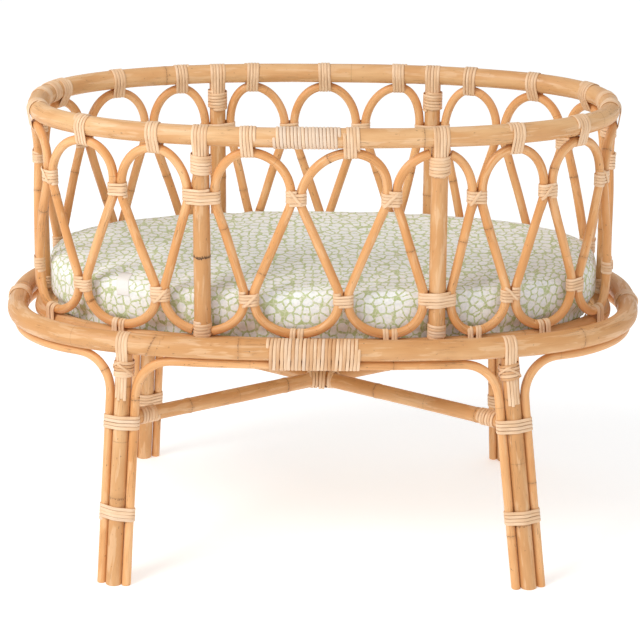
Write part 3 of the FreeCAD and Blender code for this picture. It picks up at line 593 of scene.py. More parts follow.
def plain(name, base, deep, size, roughness, metallic=0.0, stretch=(1, 1, 1), bump=0.3):
    """A surface with soft mottling and fine bump, from the piece's own coordinates."""
    p = Paint(name)
    at = p.node("TexCoord", {}, "Object")
    at = p.scaled(at, *(1000.0 / size / k for k in stretch))
    noise = p.noise(at, 1.0, 4.0, 0.6)
    body = p.mix(p.between(noise, 0.3, 0.72), base, deep)
    normal = p.bump(noise, bump, 0.0004)
    return p.finish(Base_Color=body, Roughness=roughness, Normal=normal, Metallic=metallic)


POLE_COLOURS = (colour(230, 184, 132), colour(210, 154, 98), colour(236, 196, 152), colour(176, 122, 72))
POLE = rattan("rattan_pole", *POLE_COLOURS, colour(104, 66, 36), 0.4, 0.36)
POLE_DARK_JOINT = rattan("rattan_pole_dark_joint", *POLE_COLOURS, colour(58, 36, 18), 0.55, 0.36,
                         ring=0.97)
THIN = rattan("rattan_cane", colour(238, 182, 124), colour(218, 154, 92), colour(242, 194, 142),
              colour(160, 104, 56), colour(88, 54, 28), 0.5, 0.34)
BINDING = binding_material()
PRINT = print_material()
SLAT = plain("slat_wood", colour(214, 182, 138), colour(192, 156, 108), 4.0, 0.6, stretch=(1, 14, 1))
STEEL = plain("screw_steel", colour(190, 188, 182), colour(150, 148, 142), 3.0, 0.35, metallic=1.0)
LABEL = plain("label_cotton", colour(240, 238, 234), colour(228, 226, 222), 0.8, 0.8)


# ---- rim, hoop and sill ----------------------------------------------------------------------
def hoop_path(curve, height, splice):
    d = splice + np.linspace(0, curve.length - GAP, 1400)
    return curve.at(d, height)


def build_hoop(name, node, seed, curve, height, radius, splice_x, side, spacing, tint, scarf_x=None):
    """A bent hoop; scarf_x is where a slanted butt joint shows on its front."""
    shell = Shell(seed)
    path = hoop_path(curve, height, curve.distance_at_x(splice_x, side))
    marks = joints(shell.rng, curve.length, *spacing)
    scarf = None
    if scarf_x is not None:
        start = curve.distance_at_x(splice_x, side)
        scarf = np.mod(curve.distance_at_x(scarf_x, -1) - start, curve.length)
    add_pole(shell, path, radius, 36, 3.2, marks, swell=0.2, uneven=0.008, tint=tint, scarf=scarf)
    return shell.make(name, node, "rattan_pole", POLE)


def along_curve(curve, height, middle, flat_up):
    """A place that follows a hoop: the row runs outward, or straight down if flat_up."""
    def place(lateral):
        d = middle + lateral
        tangent = curve.tangent(d)
        origin = curve.at(d, height)
        if flat_up:
            e1 = np.tile([0, 0, -1.0], (len(d), 1))
        else:
            e1 = np.cross(tangent, [0, 0, 1.0])
        return origin, e1, np.cross(tangent, e1), tangent
    return place


def build_rim():
    build_hoop("rim_pole", "top_rim", 11, RIM, RIM_Z, RIM_R, -19, -1, (380, 620), 0.4)
    start, end = RIM.distance_at_x(RIM_WRAP[0], -1), RIM.distance_at_x(RIM_WRAP[1], -1)
    shell = Shell(12)
    turns = round((end - start) / 4.45)
    place = along_curve(RIM, RIM_Z, (start + end) / 2, False)
    add_wrap(shell, place, [(0, RIM_R)], turns, (end - start) / turns, 4.15, tint=0.12, vary=0.2)
    shell.make("rim_splice_winding", "rim_splice_wrap", "binding", BINDING)
    shell = Shell(13)
    place = along_curve(RIM, RIM_Z, RIM.length / 2 - 55.0, False)
    add_wrap(shell, place, [(0, RIM_R)], 4, 4.4, 4.1, tint=0.6)
    shell.make("rim_corner_winding", "rim_corner_wrap", "binding", BINDING)


def build_base():
    build_hoop("base_pole", "base_hoop", 21, BASE, BASE_Z, BASE_R, -9, -1, (420, 700), 0.9,
               BASE_SCARF_X)
    build_hoop("sill_pole", "sill_ring", 22, SILL, SILL_Z, SILL_R, 60, 1, (300, 500), 0.9)
    start, end = BASE.distance_at_x(BASE_WRAP[0], -1), BASE.distance_at_x(BASE_WRAP[1], -1)
    pair = [(0, BASE_R), (BASE_Z - UNDER_HOOP_Z, CANE)]
    shell = Shell(23)
    turns = round((end - start) / 4.7)
    place = along_curve(BASE, BASE_Z, (start + end) / 2, True)
    add_wrap(shell, place, pair, turns, (end - start) / turns, 4.2, tint=0.55, vary=0.5, wander=0.55)
    shell.make("base_front_winding", "base_front_wrap", "binding", BINDING)
    shell = Shell(24)
    for middle in (0.0, BASE.length / 2):
        place = along_curve(BASE, BASE_Z, middle, True)
        add_wrap(shell, place, pair, 4, 4.5, 4.1, tint=0.5, vary=0.3)
        add_crossing(shell, place, pair, 0.55, 0.95, -8, 8, tint=0.45)
    shell.make("base_end_windings", "base_end_wraps", "binding", BINDING)


# ---- looped canes and their ties -------------------------------------------------------------
class Panel:
    """One cane looped between two posts, worked out in the unrolled wall."""

    def __init__(self, start_post, end_post, loops, phase, leans):
        self.start, self.start_radius = POSTS[start_post]
        self.end, self.end_radius = POSTS[end_post]
        if self.end < self.start:
            self.end += WALL.length
        self.half = (self.end - self.start) / loops / 2
        first = self.start + (self.half if phase == "waist" else 0)
        self.tops = [first + 2 * i * self.half for i in range(math.ceil(loops))]
        self.leans = leans

    def post_radius(self, station):
        if abs(station - self.start) < 1:
            return self.start_radius
        return self.end_radius if abs(station - self.end) < 1 else 0.0

    def beside(self, station):
        radius = self.post_radius(station)
        return radius + CANE + 0.6 if radius else CANE + 0.2

    def cut(self, station):
        radius = self.post_radius(station)
        return radius + 2.0 if radius else 0.0

    def inside(self, station):
        return self.start - 1 < station < self.end + 1

    @staticmethod
    def quarter(centre, half_width, half_height, cut):
        angle = np.linspace(math.acos(cut / abs(half_width)), 0, 15)
        return np.stack([centre[0] + half_width * np.cos(angle),
                         centre[1] + half_height * np.sin(angle)], 1)

    def half_loop(self, top, side, lean):
        waist = top + side * self.half
        spring, rise = WAIST_Z + SPRING, ARCH_TOP_Z - WAIST_Z - SPRING
        high = self.quarter((top, spring), side * (self.half - self.beside(waist)), rise, self.cut(top))
        high[:, 0] += lean * (high[:, 1] - spring) / rise
        bowl = LOWER_Z - SPRING
        low = self.quarter((waist, bowl), -side * (self.half - self.beside(top)),
                           LOOP_FOOT_Z - bowl, self.cut(waist))
        tied = np.array([(high[-1][0], spring - TIED), (low[-1][0], bowl + TIED)])
        return np.concatenate([high, tied, low[::-1]])

    def path(self, rng):
        points = []
        for top, lean in zip(self.tops, self.leans):
            if self.inside(top - self.half):
                points.append(self.half_loop(top, -1, lean)[::-1])
            if self.inside(top + self.half):
                points.append(self.half_loop(top, 1, lean))
        flat = np.concatenate(points)
        keep = np.r_[True, np.linalg.norm(np.diff(flat, axis=0), axis=1) > 0.5]
        flat = flat[keep]
        flat = relaxed(np.c_[flat, np.zeros(len(flat))], 3.5)
        s = walked(flat)
        flat[:, 0] += drift(rng, s, 55.0, 0.7)
        flat[:, 1] += drift(rng, s, 70.0, 0.5)
        path = WALL.at(flat[:, 0], flat[:, 1])
        inward = np.cross([0, 0, 1.0], WALL.tangent(flat[:, 0]))
        return path + inward * drift(rng, s, 60.0, 0.6)[:, None]

    def waists(self):
        found = {round(top + side * self.half, 3) for top in self.tops for side in (-1, 1)}
        return sorted(s for s in found if self.inside(s))


def rail_and_cane(rail, rail_z, rail_radius, distance, cane_z):
    """Place and circles for a tie round a hoop and the cane that touches it."""
    cane = WALL.at(distance, cane_z)
    d = rail.nearest(cane, distance * rail.length / WALL.length)
    centre = rail.at(d, rail_z)
    gap = np.linalg.norm(cane - centre)
    along = (cane - centre) / gap
    axis = unit(np.cross(np.cross(along, rail.tangent(d)), along))
    return fixed(centre, along, axis), [(0, rail_radius), (gap, CANE)]


def tie(shell, place, circles, turns, tint, shift=0.0, outer=0.25, slant=0.5):
    """A tie of a few turns, often with its end crossed over them on the outer side."""
    rng = shell.rng
    add_wrap(shell, place, circles, turns, PITCH - 0.15, tint=tint, vary=0.15, shift=shift,
             start=rng.uniform(0.45, 0.95))
    if rng.random() < slant:
        half = turns * PITCH / 2
        lean = 1 if rng.random() < 0.5 else -1
        begin = outer + rng.uniform(-0.2, -0.1)
        add_crossing(shell, place, circles, begin, begin + rng.uniform(0.2, 0.34),
                     (-half - 1.5) * lean, (half - 2) * lean, tint=tint + 0.1)


def build_walls():
    saddles, waists, lowers, feet = Shell(31), Shell(32), Shell(33), Shell(34)
    up = np.array([0, 0, 1.0])
    for k, (name, values) in enumerate(PANELS.items()):
        panel = Panel(*values)
        shell = Shell(40 + k)
        path = panel.path(shell.rng)
        marks = joints(shell.rng, walked(path)[-1], 210, 420)
        add_pole(shell, path, CANE, 22, 2.6, marks, swell=0.22, uneven=0.03, tint=0.25 + 0.1 * k)
        shell.make("looped_cane_" + name, "loop_cane_" + name, "rattan_cane", THIN)
        pair = [(-CANE - 0.2, CANE), (CANE + 0.2, CANE)]
        for top, lean in zip(panel.tops, panel.leans):
            if panel.post_radius(top):
                continue
            place, circles = rail_and_cane(RIM, RIM_Z, RIM_R, top + lean, ARCH_TOP_Z)
            add_wrap(saddles, place, circles, 4 + 0.3 * saddles.rng.random(), 4.25, 4.0, lift=0.25,
                     start=0.4 + 0.2 * saddles.rng.random(), tint=0.5, vary=0.2)
            place = fixed(WALL.at(top, LOWER_Z), WALL.tangent(top), up)
            tie(lowers, place, pair, 4 + 0.4 * lowers.rng.random(), 0.45, outer=0.75)
        for waist in panel.waists():
            if panel.post_radius(waist):
                continue
            place = fixed(WALL.at(waist, WAIST_Z), WALL.tangent(waist), up)
            tie(waists, place, pair, 4 + 0.4 * waists.rng.random(), 0.45, outer=0.75)
            place, circles = rail_and_cane(SILL, SILL_Z, SILL_R, waist, LOOP_FOOT_Z)
            for shift in (-4.9, 4.9):
                add_wrap(feet, place, circles, 1.9, 3.9, 3.8, lift=0.2, start=0.85, tint=0.45,
                         shift=shift, tuck=0.04)
    for name, (distance, radius) in POSTS.items():
        lower = name == "front_right"
        reach = radius + CANE + 0.6
        row = [(-reach, CANE), (0, radius), (reach, CANE)]
        place = fixed(WALL.at(distance, LOWER_Z if lower else WAIST_Z), WALL.tangent(distance), up)
        tie(lowers if lower else waists, place, row, 4.3, 0.45, outer=0.75)
    saddles.make("rim_saddle_ties", "rim_saddle_lashings", "binding", BINDING)
    waists.make("waist_ties", "waist_lashings", "binding", BINDING)
    lowers.make("lower_ties", "lower_lashings", "binding", BINDING)
    feet.make("loop_foot_ties", "loop_foot_lashings", "binding", BINDING)


# ---- posts -----------------------------------------------------------------------------------
def build_posts():
    straps, tops, feet = Shell(51), Shell(52), Shell(53)
    up = np.array([0, 0, 1.0])
    for k, (name, (distance, radius)) in enumerate(POSTS.items()):
        shell = Shell(60 + k)
        base = WALL.at(distance, POST_FOOT_Z)
        tangent = WALL.tangent(distance)
        out = unit(np.cross(tangent, up))
        rim = RIM.at(RIM.nearest(base, distance * RIM.length / WALL.length), RIM_Z)
        sill = SILL.at(SILL.nearest(base, distance * SILL.length / WALL.length), SILL_Z)

        def fitted(grid, rim=rim, sill=sill, out=out):
            to_rim, to_sill = (grid - rim) @ out, (grid - sill) @ out
            cope = RIM_Z - np.sqrt(np.maximum((RIM_R + 0.1) ** 2 - to_rim ** 2, 0))
            seat = SILL_Z + np.sqrt(np.maximum((SILL_R + 0.1) ** 2 - to_sill ** 2, 0))
            grid[..., 2] = np.clip(grid[..., 2], seat, cope)
            return grid
        path = np.array([base, [base[0], base[1], RIM_Z - 2]])
        marks = [110.0] if name == "front_left" else [60 + 100 * shell.rng.random()]
        dark = name == "front_left"
        add_pole(shell, path, radius, 28, 3.0, marks, swell=0.4, trim=fitted, tint=1.0,
                 bold=2.6 if dark else 1.0)
        shell.make("wall_post_" + name, "post_" + name, "rattan_pole", POLE_DARK_JOINT if dark else POLE)

        def pole_at(drop, base=base):
            return np.array([base[0], base[1], RIM_Z - drop])
        count = 5 if radius == POST else 4
        add_strap(straps, rim, tangent, RIM_R, pole_at, radius, count, 48, 48, 4.2)
        place = fixed(np.array([base[0], base[1], 0]) + up * (RIM_Z - 36.5), out, up)
        add_wrap(tops, place, [(0, radius + STRIP_THICK)], 6, 4.2, 4.05, start=0.4, tint=0.5)
        place = fixed(np.array([base[0], base[1], 0]) + up * (SILL_Z + SILL_R + 10.5), out, up)
        add_wrap(feet, place, [(0, radius)], 4.5, 4.2, 4.0, start=0.5, tint=0.45, vary=0.3)
    straps.make("post_straps", "post_rim_straps", "binding", BINDING)
    tops.make("post_head_windings", "post_top_wraps", "binding", BINDING)
    feet.make("post_foot_windings", "post_foot_wraps", "binding", BINDING)


# ---- legs, side canes and stretchers ---------------------------------------------------------
class Leg:
    def __init__(self, top_x, foot_x, side):
        self.distance = BASE.distance_at_x(top_x, side)
        self.top = BASE.at(self.distance, BASE_Z - BASE_R)
        self.hoop = BASE.at(self.distance, BASE_Z)
        self.foot = np.array([foot_x, side * LEG_FOOT_Y, 0.0])
        self.tangent = BASE.tangent(self.distance)
        self.direction = unit(self.top - self.foot)
        self.across = unit(self.tangent - self.direction * (self.tangent @ self.direction))
        self.inward = np.cross(self.direction, self.across)
        self.reach = LEG + CANE + GAP
        self.row = [(-self.reach, CANE), (0, LEG), (self.reach, CANE)]
        self.stretcher = self.at_height(STRETCHER_FRONT_Z if side < 0 else STRETCHER_BACK_Z)

    def at_height(self, height):
        return self.foot + (self.top - self.foot) * (height / self.top[2])


def on_floor(grid):
    grid[..., 2] = np.maximum(grid[..., 2], 0.0)
    return grid


def side_cane(first, last):
    """Up the first leg, round under the base hoop, down the next leg."""
    start, end = first.distance, last.distance
    if end < start:
        end += BASE.length
    run = CORNER_BEND + 34.0 + first.reach
    count = round((end - start - 2 * run) / 40.0)
    d = np.linspace(start + run, end - run, count + 1)
    feet = [first.foot + first.across * first.reach - first.direction * 3,
            last.foot - last.across * last.reach - last.direction * 3]
    corners = [first.at_height(UNDER_HOOP_Z) + first.across * first.reach,
               last.at_height(UNDER_HOOP_Z) - last.across * last.reach]
    points = [feet[0], corners[0], *BASE.at(d, UNDER_HOOP_Z), corners[1], feet[1]]
    return relaxed(rounded(points, {1: CORNER_BEND, len(points) - 2: CORNER_BEND}), 5.0)


def build_legs():
    legs = {name: Leg(*values) for name, values in LEGS.items()}
    heads, straps, uppers, lowers = Shell(71), Shell(72), Shell(73), Shell(74)
    for k, (name, leg) in enumerate(legs.items()):
        shell = Shell(80 + k)
        out = np.cross(leg.tangent, [0, 0, 1.0])

        def fitted(grid, leg=leg, out=out):
            off = (grid - leg.hoop) @ out
            cope = BASE_Z - np.sqrt(np.maximum((BASE_R + 0.1) ** 2 - off ** 2, 0))
            grid[..., 2] = np.clip(grid[..., 2], 0.0, cope)
            return grid
        path = np.array([leg.foot - leg.direction * 3, leg.top + leg.direction * 12])
        marks = joints(shell.rng, 300, 150, 260)
        add_pole(shell, path, LEG, 28, 3.0, marks, swell=0.35, trim=fitted, tint=0.9, bold=1.8)
        shell.make("leg_pole_" + name, "leg_" + name, "rattan_pole", POLE)

        def pole_at(drop, leg=leg):
            return leg.at_height(BASE_Z - drop)
        add_strap(straps, leg.hoop, leg.tangent, BASE_R, pole_at, LEG, 4, 74, 56, 4.2)
        place = fixed(leg.at_height(HEAD_WRAP_Z), leg.across, leg.direction)
        core = [(0, LEG + STRIP_THICK)]
        add_wrap(heads, place, core, 5, 4.2, 4.0, tint=0.75, vary=0.35, wander=0.6)
        for begin, low, high in ((0.1, -8, 7), (0.62, 8, -9), (0.35, -6, 9)):
            add_crossing(heads, place, core, begin, begin + 0.42, low, high, tint=0.7, width=3.4)
        for height, bands, turns in ((UPPER_BAND_Z, uppers, 4.3), (LOWER_BAND_Z, lowers, 4.3)):
            place = fixed(leg.at_height(height), leg.across, leg.direction)
            add_wrap(bands, place, leg.row, turns, 4.7, 4.35, lift=0.15, tint=0.4, vary=0.2,
                     start=bands.rng.uniform(0.1, 0.3))
            if bands.rng.random() < 0.5:
                add_crossing(bands, place, leg.row, 0.18, 0.34, -9, 8, tint=0.5)
    heads.make("leg_head_windings", "leg_head_wraps", "binding", BINDING)
    straps.make("leg_straps", "leg_hoop_straps", "binding", BINDING)
    uppers.make("upper_leg_ties", "leg_upper_bands", "binding", BINDING)
    lowers.make("lower_leg_ties", "leg_lower_bands", "binding", BINDING)
    pairs = {"right": ("front_right", "back_right"), "back": ("back_right", "back_left"),
             "left": ("back_left", "front_left"), "front": ("front_left", "front_right")}
    for k, (name, (first, last)) in enumerate(pairs.items()):
        shell = Shell(90 + k)
        path = side_cane(legs[first], legs[last])
        marks = joints(shell.rng, walked(path)[-1], 260, 460)
        add_pole(shell, path, CANE, 22, 2.8, marks, swell=0.22, trim=on_floor, tint=0.3)
        shell.make("side_cane_" + name, "arch_cane_" + name, "rattan_cane", THIN)
    build_stretchers(legs)


def butted(leg, heading):
    """Slides a stretcher's end vertices along it until they clear the leg and its canes."""
    def trim(grid):
        for _ in range(4):
            off = grid - leg.stretcher
            a, b = off @ leg.across, off @ leg.inward
            sign = 1.0 if heading @ leg.inward > 0 else -1.0
            need = np.interp(np.abs(a), [0, leg.reach, leg.reach + 6], [LEG + 1.8, CANE + 1.8, 0])
            short = np.maximum(need - b * sign, 0) * (np.abs(a) < leg.reach + 6)
            short *= np.linalg.norm(off, axis=-1) < 60
            grid = grid + heading * (short / abs(heading @ leg.inward))[..., None]
        return grid
    return trim


def build_stretchers(legs):
    ends = {name: leg.stretcher for name, leg in legs.items()}
    middle = (ends["front_left"] + ends["back_right"]) / 2
    long_way = unit(ends["back_right"] - ends["front_left"])
    shell = Shell(101)
    first, last = butted(legs["front_left"], long_way), butted(legs["back_right"], -long_way)
    path = np.array([ends["front_left"] + long_way * 8, ends["back_right"] - long_way * 8])
    add_pole(shell, path, STRETCHER, 26, 3.2, (96, 254, 431, 560), swell=0.6,
             trim=lambda grid: last(first(grid)), tint=0.8, bold=1.4)
    shell.make("stretcher_pole_long", "stretcher_long", "rattan_pole", POLE)
    for k, (near, far, node) in enumerate((("front_right", "back_left", "stretcher_front"),
                                           ("back_left", "front_right", "stretcher_back"))):
        shell = Shell(102 + k)
        heading = unit(ends[far] - ends[near])
        trim = butted(legs[near], heading)
        path = np.array([ends[near] + heading * 8, (ends[near] + ends[far]) / 2 - heading * 2])

        def coped(grid, trim=trim, heading=heading):
            grid = trim(grid)
            off = grid - middle
            beside = off - (off @ long_way)[..., None] * long_way
            gap = np.linalg.norm(beside, axis=-1)
            return grid - heading * (np.maximum(STRETCHER + 0.1 - gap, 0) / 0.8)[..., None]
        add_pole(shell, path, STRETCHER, 26, 3.2, joints(shell.rng, 300, 120, 200), swell=0.5,
                 trim=coped, tint=0.9)
        shell.make("stretcher_pole_" + node.split("_")[1], node, "rattan_pole", POLE)
    wraps = Shell(105)
    opposite = {"front_left": "back_right", "back_right": "front_left",
                "front_right": "back_left", "back_left": "front_right"}
    lashing = Shell(106)
    up = np.array([0, 0, 1.0])
    for near, far in opposite.items():
        heading = unit(ends[far] - ends[near])
        side = unit(np.cross(heading, up))
        place = fixed(ends[near] + heading * 40.0, side, heading)
        add_wrap(wraps, place, [(0, STRETCHER)], 5.4, 4.5, 4.25, tint=0.6, vary=0.25)
        skew = unit(heading + side * (0.5 if heading[0] * heading[1] > 0 else -0.5))
        place = fixed(middle - heading * 17.0, unit(np.cross(up, skew)), skew)
        slanted = [(-2.0, STRETCHER + 0.2), (2.0, STRETCHER + 0.2)]
        add_wrap(lashing, place, slanted, 2.4, 4.2, 4.0, tint=0.55, wander=0.6)
    for turn in (0.0, math.pi / 2):
        way = np.array([math.cos(turn), math.sin(turn), 0])
        place = fixed(middle, way, np.cross(up, way))
        oblong = [(-11.5, STRETCHER + 1.0), (11.5, STRETCHER + 1.0)]
        add_wrap(lashing, place, oblong, 2.3, 4.4, 4.0, tint=0.55, wander=0.5)
    wraps.make("stretcher_end_windings", "stretcher_end_wraps", "binding", BINDING)
    lashing.make("stretcher_centre_ties", "stretcher_centre_lashing", "binding", BINDING)


# ---- mattress --------------------------------------------------------------------------------
MATTRESS_LOW, MATTRESS_HIGH = box_mm("mattress_cover")
PAD_LENGTH, PAD_WIDTH = MATTRESS_HIGH[0] + 8.0, MATTRESS_HIGH[1] + 6.5   # half sizes, filled
PAD_BOTTOM, PAD_TOP = MATTRESS_LOW[2] + 0.2, MATTRESS_HIGH[2] + 1.0
LABEL_RAISED, LABEL_LEAN = 4.0, -0.2
START_INSET, EDGE_ROUND = 4.0, 13          # the unfilled cover, inside the filled size
VOXEL = 0.0055
CLOTH_STEPS, SWELL_CAP = 20, 5.0
SIDE_RIPPLE, TOP_WAVE = 0.0011, 0.22
LABEL_HALF_WIDTH, LABEL_HEIGHT = 9.0, 24.0
FRONT_SAG = 0.15           # share of its height by which the pad has settled along the front
SILL_CLEAR_Z, SILL_CLEAR = 338.0, 4.0      # below this height the pad is drawn in past the sill


def outline_norm(xy, half_length, half_width):
    return (np.abs(xy[:, 0] / half_length) ** MATTRESS_POWER
            + np.abs(xy[:, 1] / half_width) ** MATTRESS_POWER) ** (1 / MATTRESS_POWER)


def mattress_mesh():
    """Rounded oval block, a little smaller than the filled mattress."""
    a, b = PAD_LENGTH - START_INSET, PAD_WIDTH - START_INSET
    low, high = PAD_BOTTOM + 1.0, PAD_TOP - START_INSET
    rows = [(0.5, low)]
    for top in (False, True):
        for angle in np.linspace(0, math.pi / 2, 6):
            inset = EDGE_ROUND * (1 - (math.cos(angle) if top else math.sin(angle)))
            z = low + EDGE_ROUND * (1 - math.cos(angle))
            if top:
                z = high - EDGE_ROUND + EDGE_ROUND * math.sin(angle)
            rows.append((inset, z))
    rows.append((0.5, high))
    count = 180
    verts, faces = [], []
    for inset, z in rows:
        shrink = inset if inset >= 1 else (0 if inset == 0 else a * 0.5)
        curve = Oval(a - shrink, (b - shrink) if shrink < b * 0.6 else b * 0.45, MATTRESS_POWER)
        ring = curve.at(np.arange(count) * curve.length / count, z)
        verts += ring.tolist()
    for r in range(len(rows) - 1):
        for i in range(count):
            j = (i + 1) % count
            faces.append((r * count + i, r * count + j, (r + 1) * count + j, (r + 1) * count + i))
    faces.append(tuple(range(count))[::-1])
    faces.append(tuple((len(rows) - 1) * count + i for i in range(count)))
    mesh = bpy.data.meshes.new("mattress_pad")
    mesh.from_pydata((np.array(verts) * MM).tolist(), [], faces)
    mesh.update()
    return mesh


def applied(piece):
    """The piece's mesh with its modifiers worked in."""
    view = bpy.context.evaluated_depsgraph_get()
    mesh = bpy.data.meshes.new_from_object(piece.evaluated_get(view), depsgraph=view)
    piece.modifiers.clear()
    piece.data = mesh


def read_points(mesh):
    points = np.zeros(len(mesh.vertices) * 3, np.float32)
    mesh.vertices.foreach_get("co", points)
    return points.reshape(-1, 3).astype(float)


def filled(piece):
    """Swells the cover under light pressure, as the foam inside does."""
    before = read_points(piece.data)
    cloth = piece.modifiers.new("cloth", "CLOTH")
    settings = cloth.settings
    settings.quality, settings.mass = 6, 0.3
    settings.tension_stiffness = settings.compression_stiffness = 12.0
    settings.shear_stiffness, settings.bending_stiffness = 5.0, 1.5
    settings.use_pressure, settings.uniform_pressure_force = True, 4.0
    settings.effector_weights.gravity = 0.0
    cloth.collision_settings.use_collision = False
    scene = bpy.context.scene
    for step in range(1, CLOTH_STEPS + 1):
        scene.frame_set(step)
    applied(piece)
    moved = read_points(piece.data) / MM - before / MM
    size = np.linalg.norm(moved, axis=1, keepdims=True)
    moved *= np.minimum(1, SWELL_CAP / np.maximum(size, 1e-6))
    return before / MM + moved


def build_mattress():
    piece = placed("mattress_pad", mattress_mesh())
    remesh = piece.modifiers.new("remesh", "REMESH")
    remesh.mode, remesh.voxel_size = "VOXEL", VOXEL
    applied(piece)
    points = filled(piece)
    rng = np.random.default_rng(7)
    points[:, 0] *= PAD_LENGTH / np.abs(points[:, 0]).max()
    points[:, 1] *= PAD_WIDTH / np.abs(points[:, 1]).max()
    norm = outline_norm(points[:, :2], PAD_LENGTH, PAD_WIDTH)
    drawn_in = SILL_CLEAR / PAD_WIDTH * np.clip((SILL_CLEAR_Z + 8 - points[:, 2]) / 8, 0, 1)
    limit = np.minimum(1, (1 - drawn_in) / np.maximum(norm, 1e-6))
    points[:, :2] *= limit[:, None]
    angle = np.arctan2(points[:, 1] / PAD_WIDTH, points[:, 0] / PAD_LENGTH)
    ripple = sum(rng.uniform(0.3, 1) * np.sin(k * angle + rng.uniform(0, 6.3)) for k in range(18, 46, 3))
    side = np.clip((norm - 0.93) / 0.05, 0, 1) * np.clip((PAD_TOP + 4 - points[:, 2]) / 30, 0, 1)
    points[:, :2] *= (1 - SIDE_RIPPLE * side * (ripple / 3 + 1))[:, None]
    wave = np.zeros(len(points))
    for _ in range(9):
        heading, size = rng.uniform(0, 6.3), rng.uniform(45, 130)
        wave += np.sin((points[:, 0] * math.cos(heading) + points[:, 1] * math.sin(heading))
                       * 2 * math.pi / size + rng.uniform(0, 6.3))
    on_top = np.clip((points[:, 2] - (PAD_TOP - 14)) / 12, 0, 1)
    points[:, 2] += on_top * wave * TOP_WAVE
    forward = 0.5 - points[:, 1] / PAD_WIDTH / 2
    points[:, 2] -= (points[:, 2] - PAD_BOTTOM) * FRONT_SAG * np.clip(forward, 0, 1)
    points[:, 2] = np.clip(points[:, 2], PAD_BOTTOM, PAD_TOP + 4)
    mesh = piece.data
    mesh.vertices.foreach_set("co", (points * MM).astype(np.float32).ravel())
    mesh.update()
    divide = piece.modifiers.new("divide", "SUBSURF")
    divide.levels = divide.render_levels = 1
    applied(piece)
    lay_print(piece.data)
    mesh = piece.data
    mesh.polygons.foreach_set("use_smooth", np.ones(len(mesh.polygons), bool))
    mesh.materials.clear()
    mesh.materials.append(PRINT)
    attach(piece, "mattress")
    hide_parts("mattress_cover", "mattress_foam")
    return piece


def lay_print(mesh):
    """The print's plan: flat over the top, folded straight down over the sides."""
    points = read_points(mesh) / MM
    x, y = points[:, 0] / PAD_LENGTH, points[:, 1] / PAD_WIDTH
    slope = np.stack([np.sign(x) * np.abs(x) ** (MATTRESS_POWER - 1) / PAD_LENGTH,
                      np.sign(y) * np.abs(y) ** (MATTRESS_POWER - 1) / PAD_WIDTH], 1)
    outward = slope / np.maximum(np.linalg.norm(slope, axis=1, keepdims=True), 1e-9)
    norm = outline_norm(points[:, :2], PAD_LENGTH, PAD_WIDTH)
    fold = np.clip((norm - 0.85) / 0.12, 0, 1) * np.maximum(PAD_TOP - points[:, 2], 0)
    plan = points[:, :2] + outward * fold[:, None]
    under = points[:, 2] < PAD_BOTTOM + 0.8
    corners = np.zeros(len(mesh.loops), np.int32)
    mesh.loops.foreach_get("vertex_index", corners)
    flat_faces = np.array([all(under[v] for v in face.vertices) for face in mesh.polygons])
    starts = np.zeros(len(mesh.polygons), np.int32)
    totals = np.zeros(len(mesh.polygons), np.int32)
    mesh.polygons.foreach_get("loop_start", starts)
    mesh.polygons.foreach_get("loop_total", totals)
    face_of = np.repeat(np.arange(len(starts)), totals)
    uv = np.where(flat_faces[face_of][:, None], points[corners, :2] * [1, -1], plan[corners])
    layer = mesh.uv_layers.new(name="print")
    layer.data.foreach_set("uv", (uv * MM).astype(np.float32).ravel())


def build_label(pad):
    """A small blank cloth label sewn flat on the mattress side."""
    low, high = box_mm("mattress_label")
    curve = Oval(PAD_LENGTH, PAD_WIDTH, MATTRESS_POWER)
    middle = curve.distance_at_x((low[0] + high[0]) / 2, -1)
    centre_z = (low[2] + high[2]) / 2 + LABEL_RAISED
    tree = BVHTree.FromObject(pad, bpy.context.evaluated_depsgraph_get())
    columns, rows = 19, 25
    skin = np.zeros((rows, columns, 3))
    normal = np.zeros((rows, columns, 3))
    for r in range(rows):
        for c in range(columns):
            d = middle + (c / (columns - 1) - 0.5) * 2 * LABEL_HALF_WIDTH
            z = centre_z + (r / (rows - 1) - 0.5) * LABEL_HEIGHT
            d += (z - centre_z) * LABEL_LEAN
            out = np.cross(curve.tangent(d), [0, 0, 1.0])
            start = curve.at(d, z) + out * 30
            hit, face_normal, _, _ = tree.ray_cast(Vector(start * MM), Vector(-out))
            skin[r, c] = np.array(hit) / MM
            normal[r, c] = np.array(face_normal)
    edge = np.minimum.outer(np.minimum(np.arange(rows), rows - 1 - np.arange(rows)),
                            np.minimum(np.arange(columns), columns - 1 - np.arange(columns)))
    lift = np.interp(edge, [0, 1, 2, 3], [0.55, 0.75, 0.5, 0.7])
    outer = skin + normal * lift[..., None]
    inner = skin + normal * 0.15
    verts = np.concatenate([outer.reshape(-1, 3), inner.reshape(-1, 3)]) * MM
    n = rows * columns
    index = np.arange(n).reshape(rows, columns)
    front = np.stack([index[:-1, :-1], index[:-1, 1:], index[1:, 1:], index[1:, :-1]], -1).reshape(-1, 4)
    faces = front.tolist() + (front[:, ::-1] + n).tolist()
    rim = np.r_[index[0], index[1:, -1], index[-1, -2::-1], index[-2:0:-1, 0]]
    for a, b in zip(rim, np.roll(rim, -1)):
        faces.append((a, a + n, b + n, b))
    mesh = bpy.data.meshes.new("mattress_tag")
    mesh.from_pydata(verts.tolist(), [], [tuple(int(v) for v in face) for face in faces])
    mesh.polygons.foreach_set("use_smooth", np.ones(len(mesh.polygons), bool))
    mesh.materials.append(LABEL)
    mesh.update()
    piece = placed("mattress_tag", mesh)
    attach(piece, "mattress")
    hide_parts("mattress_label")


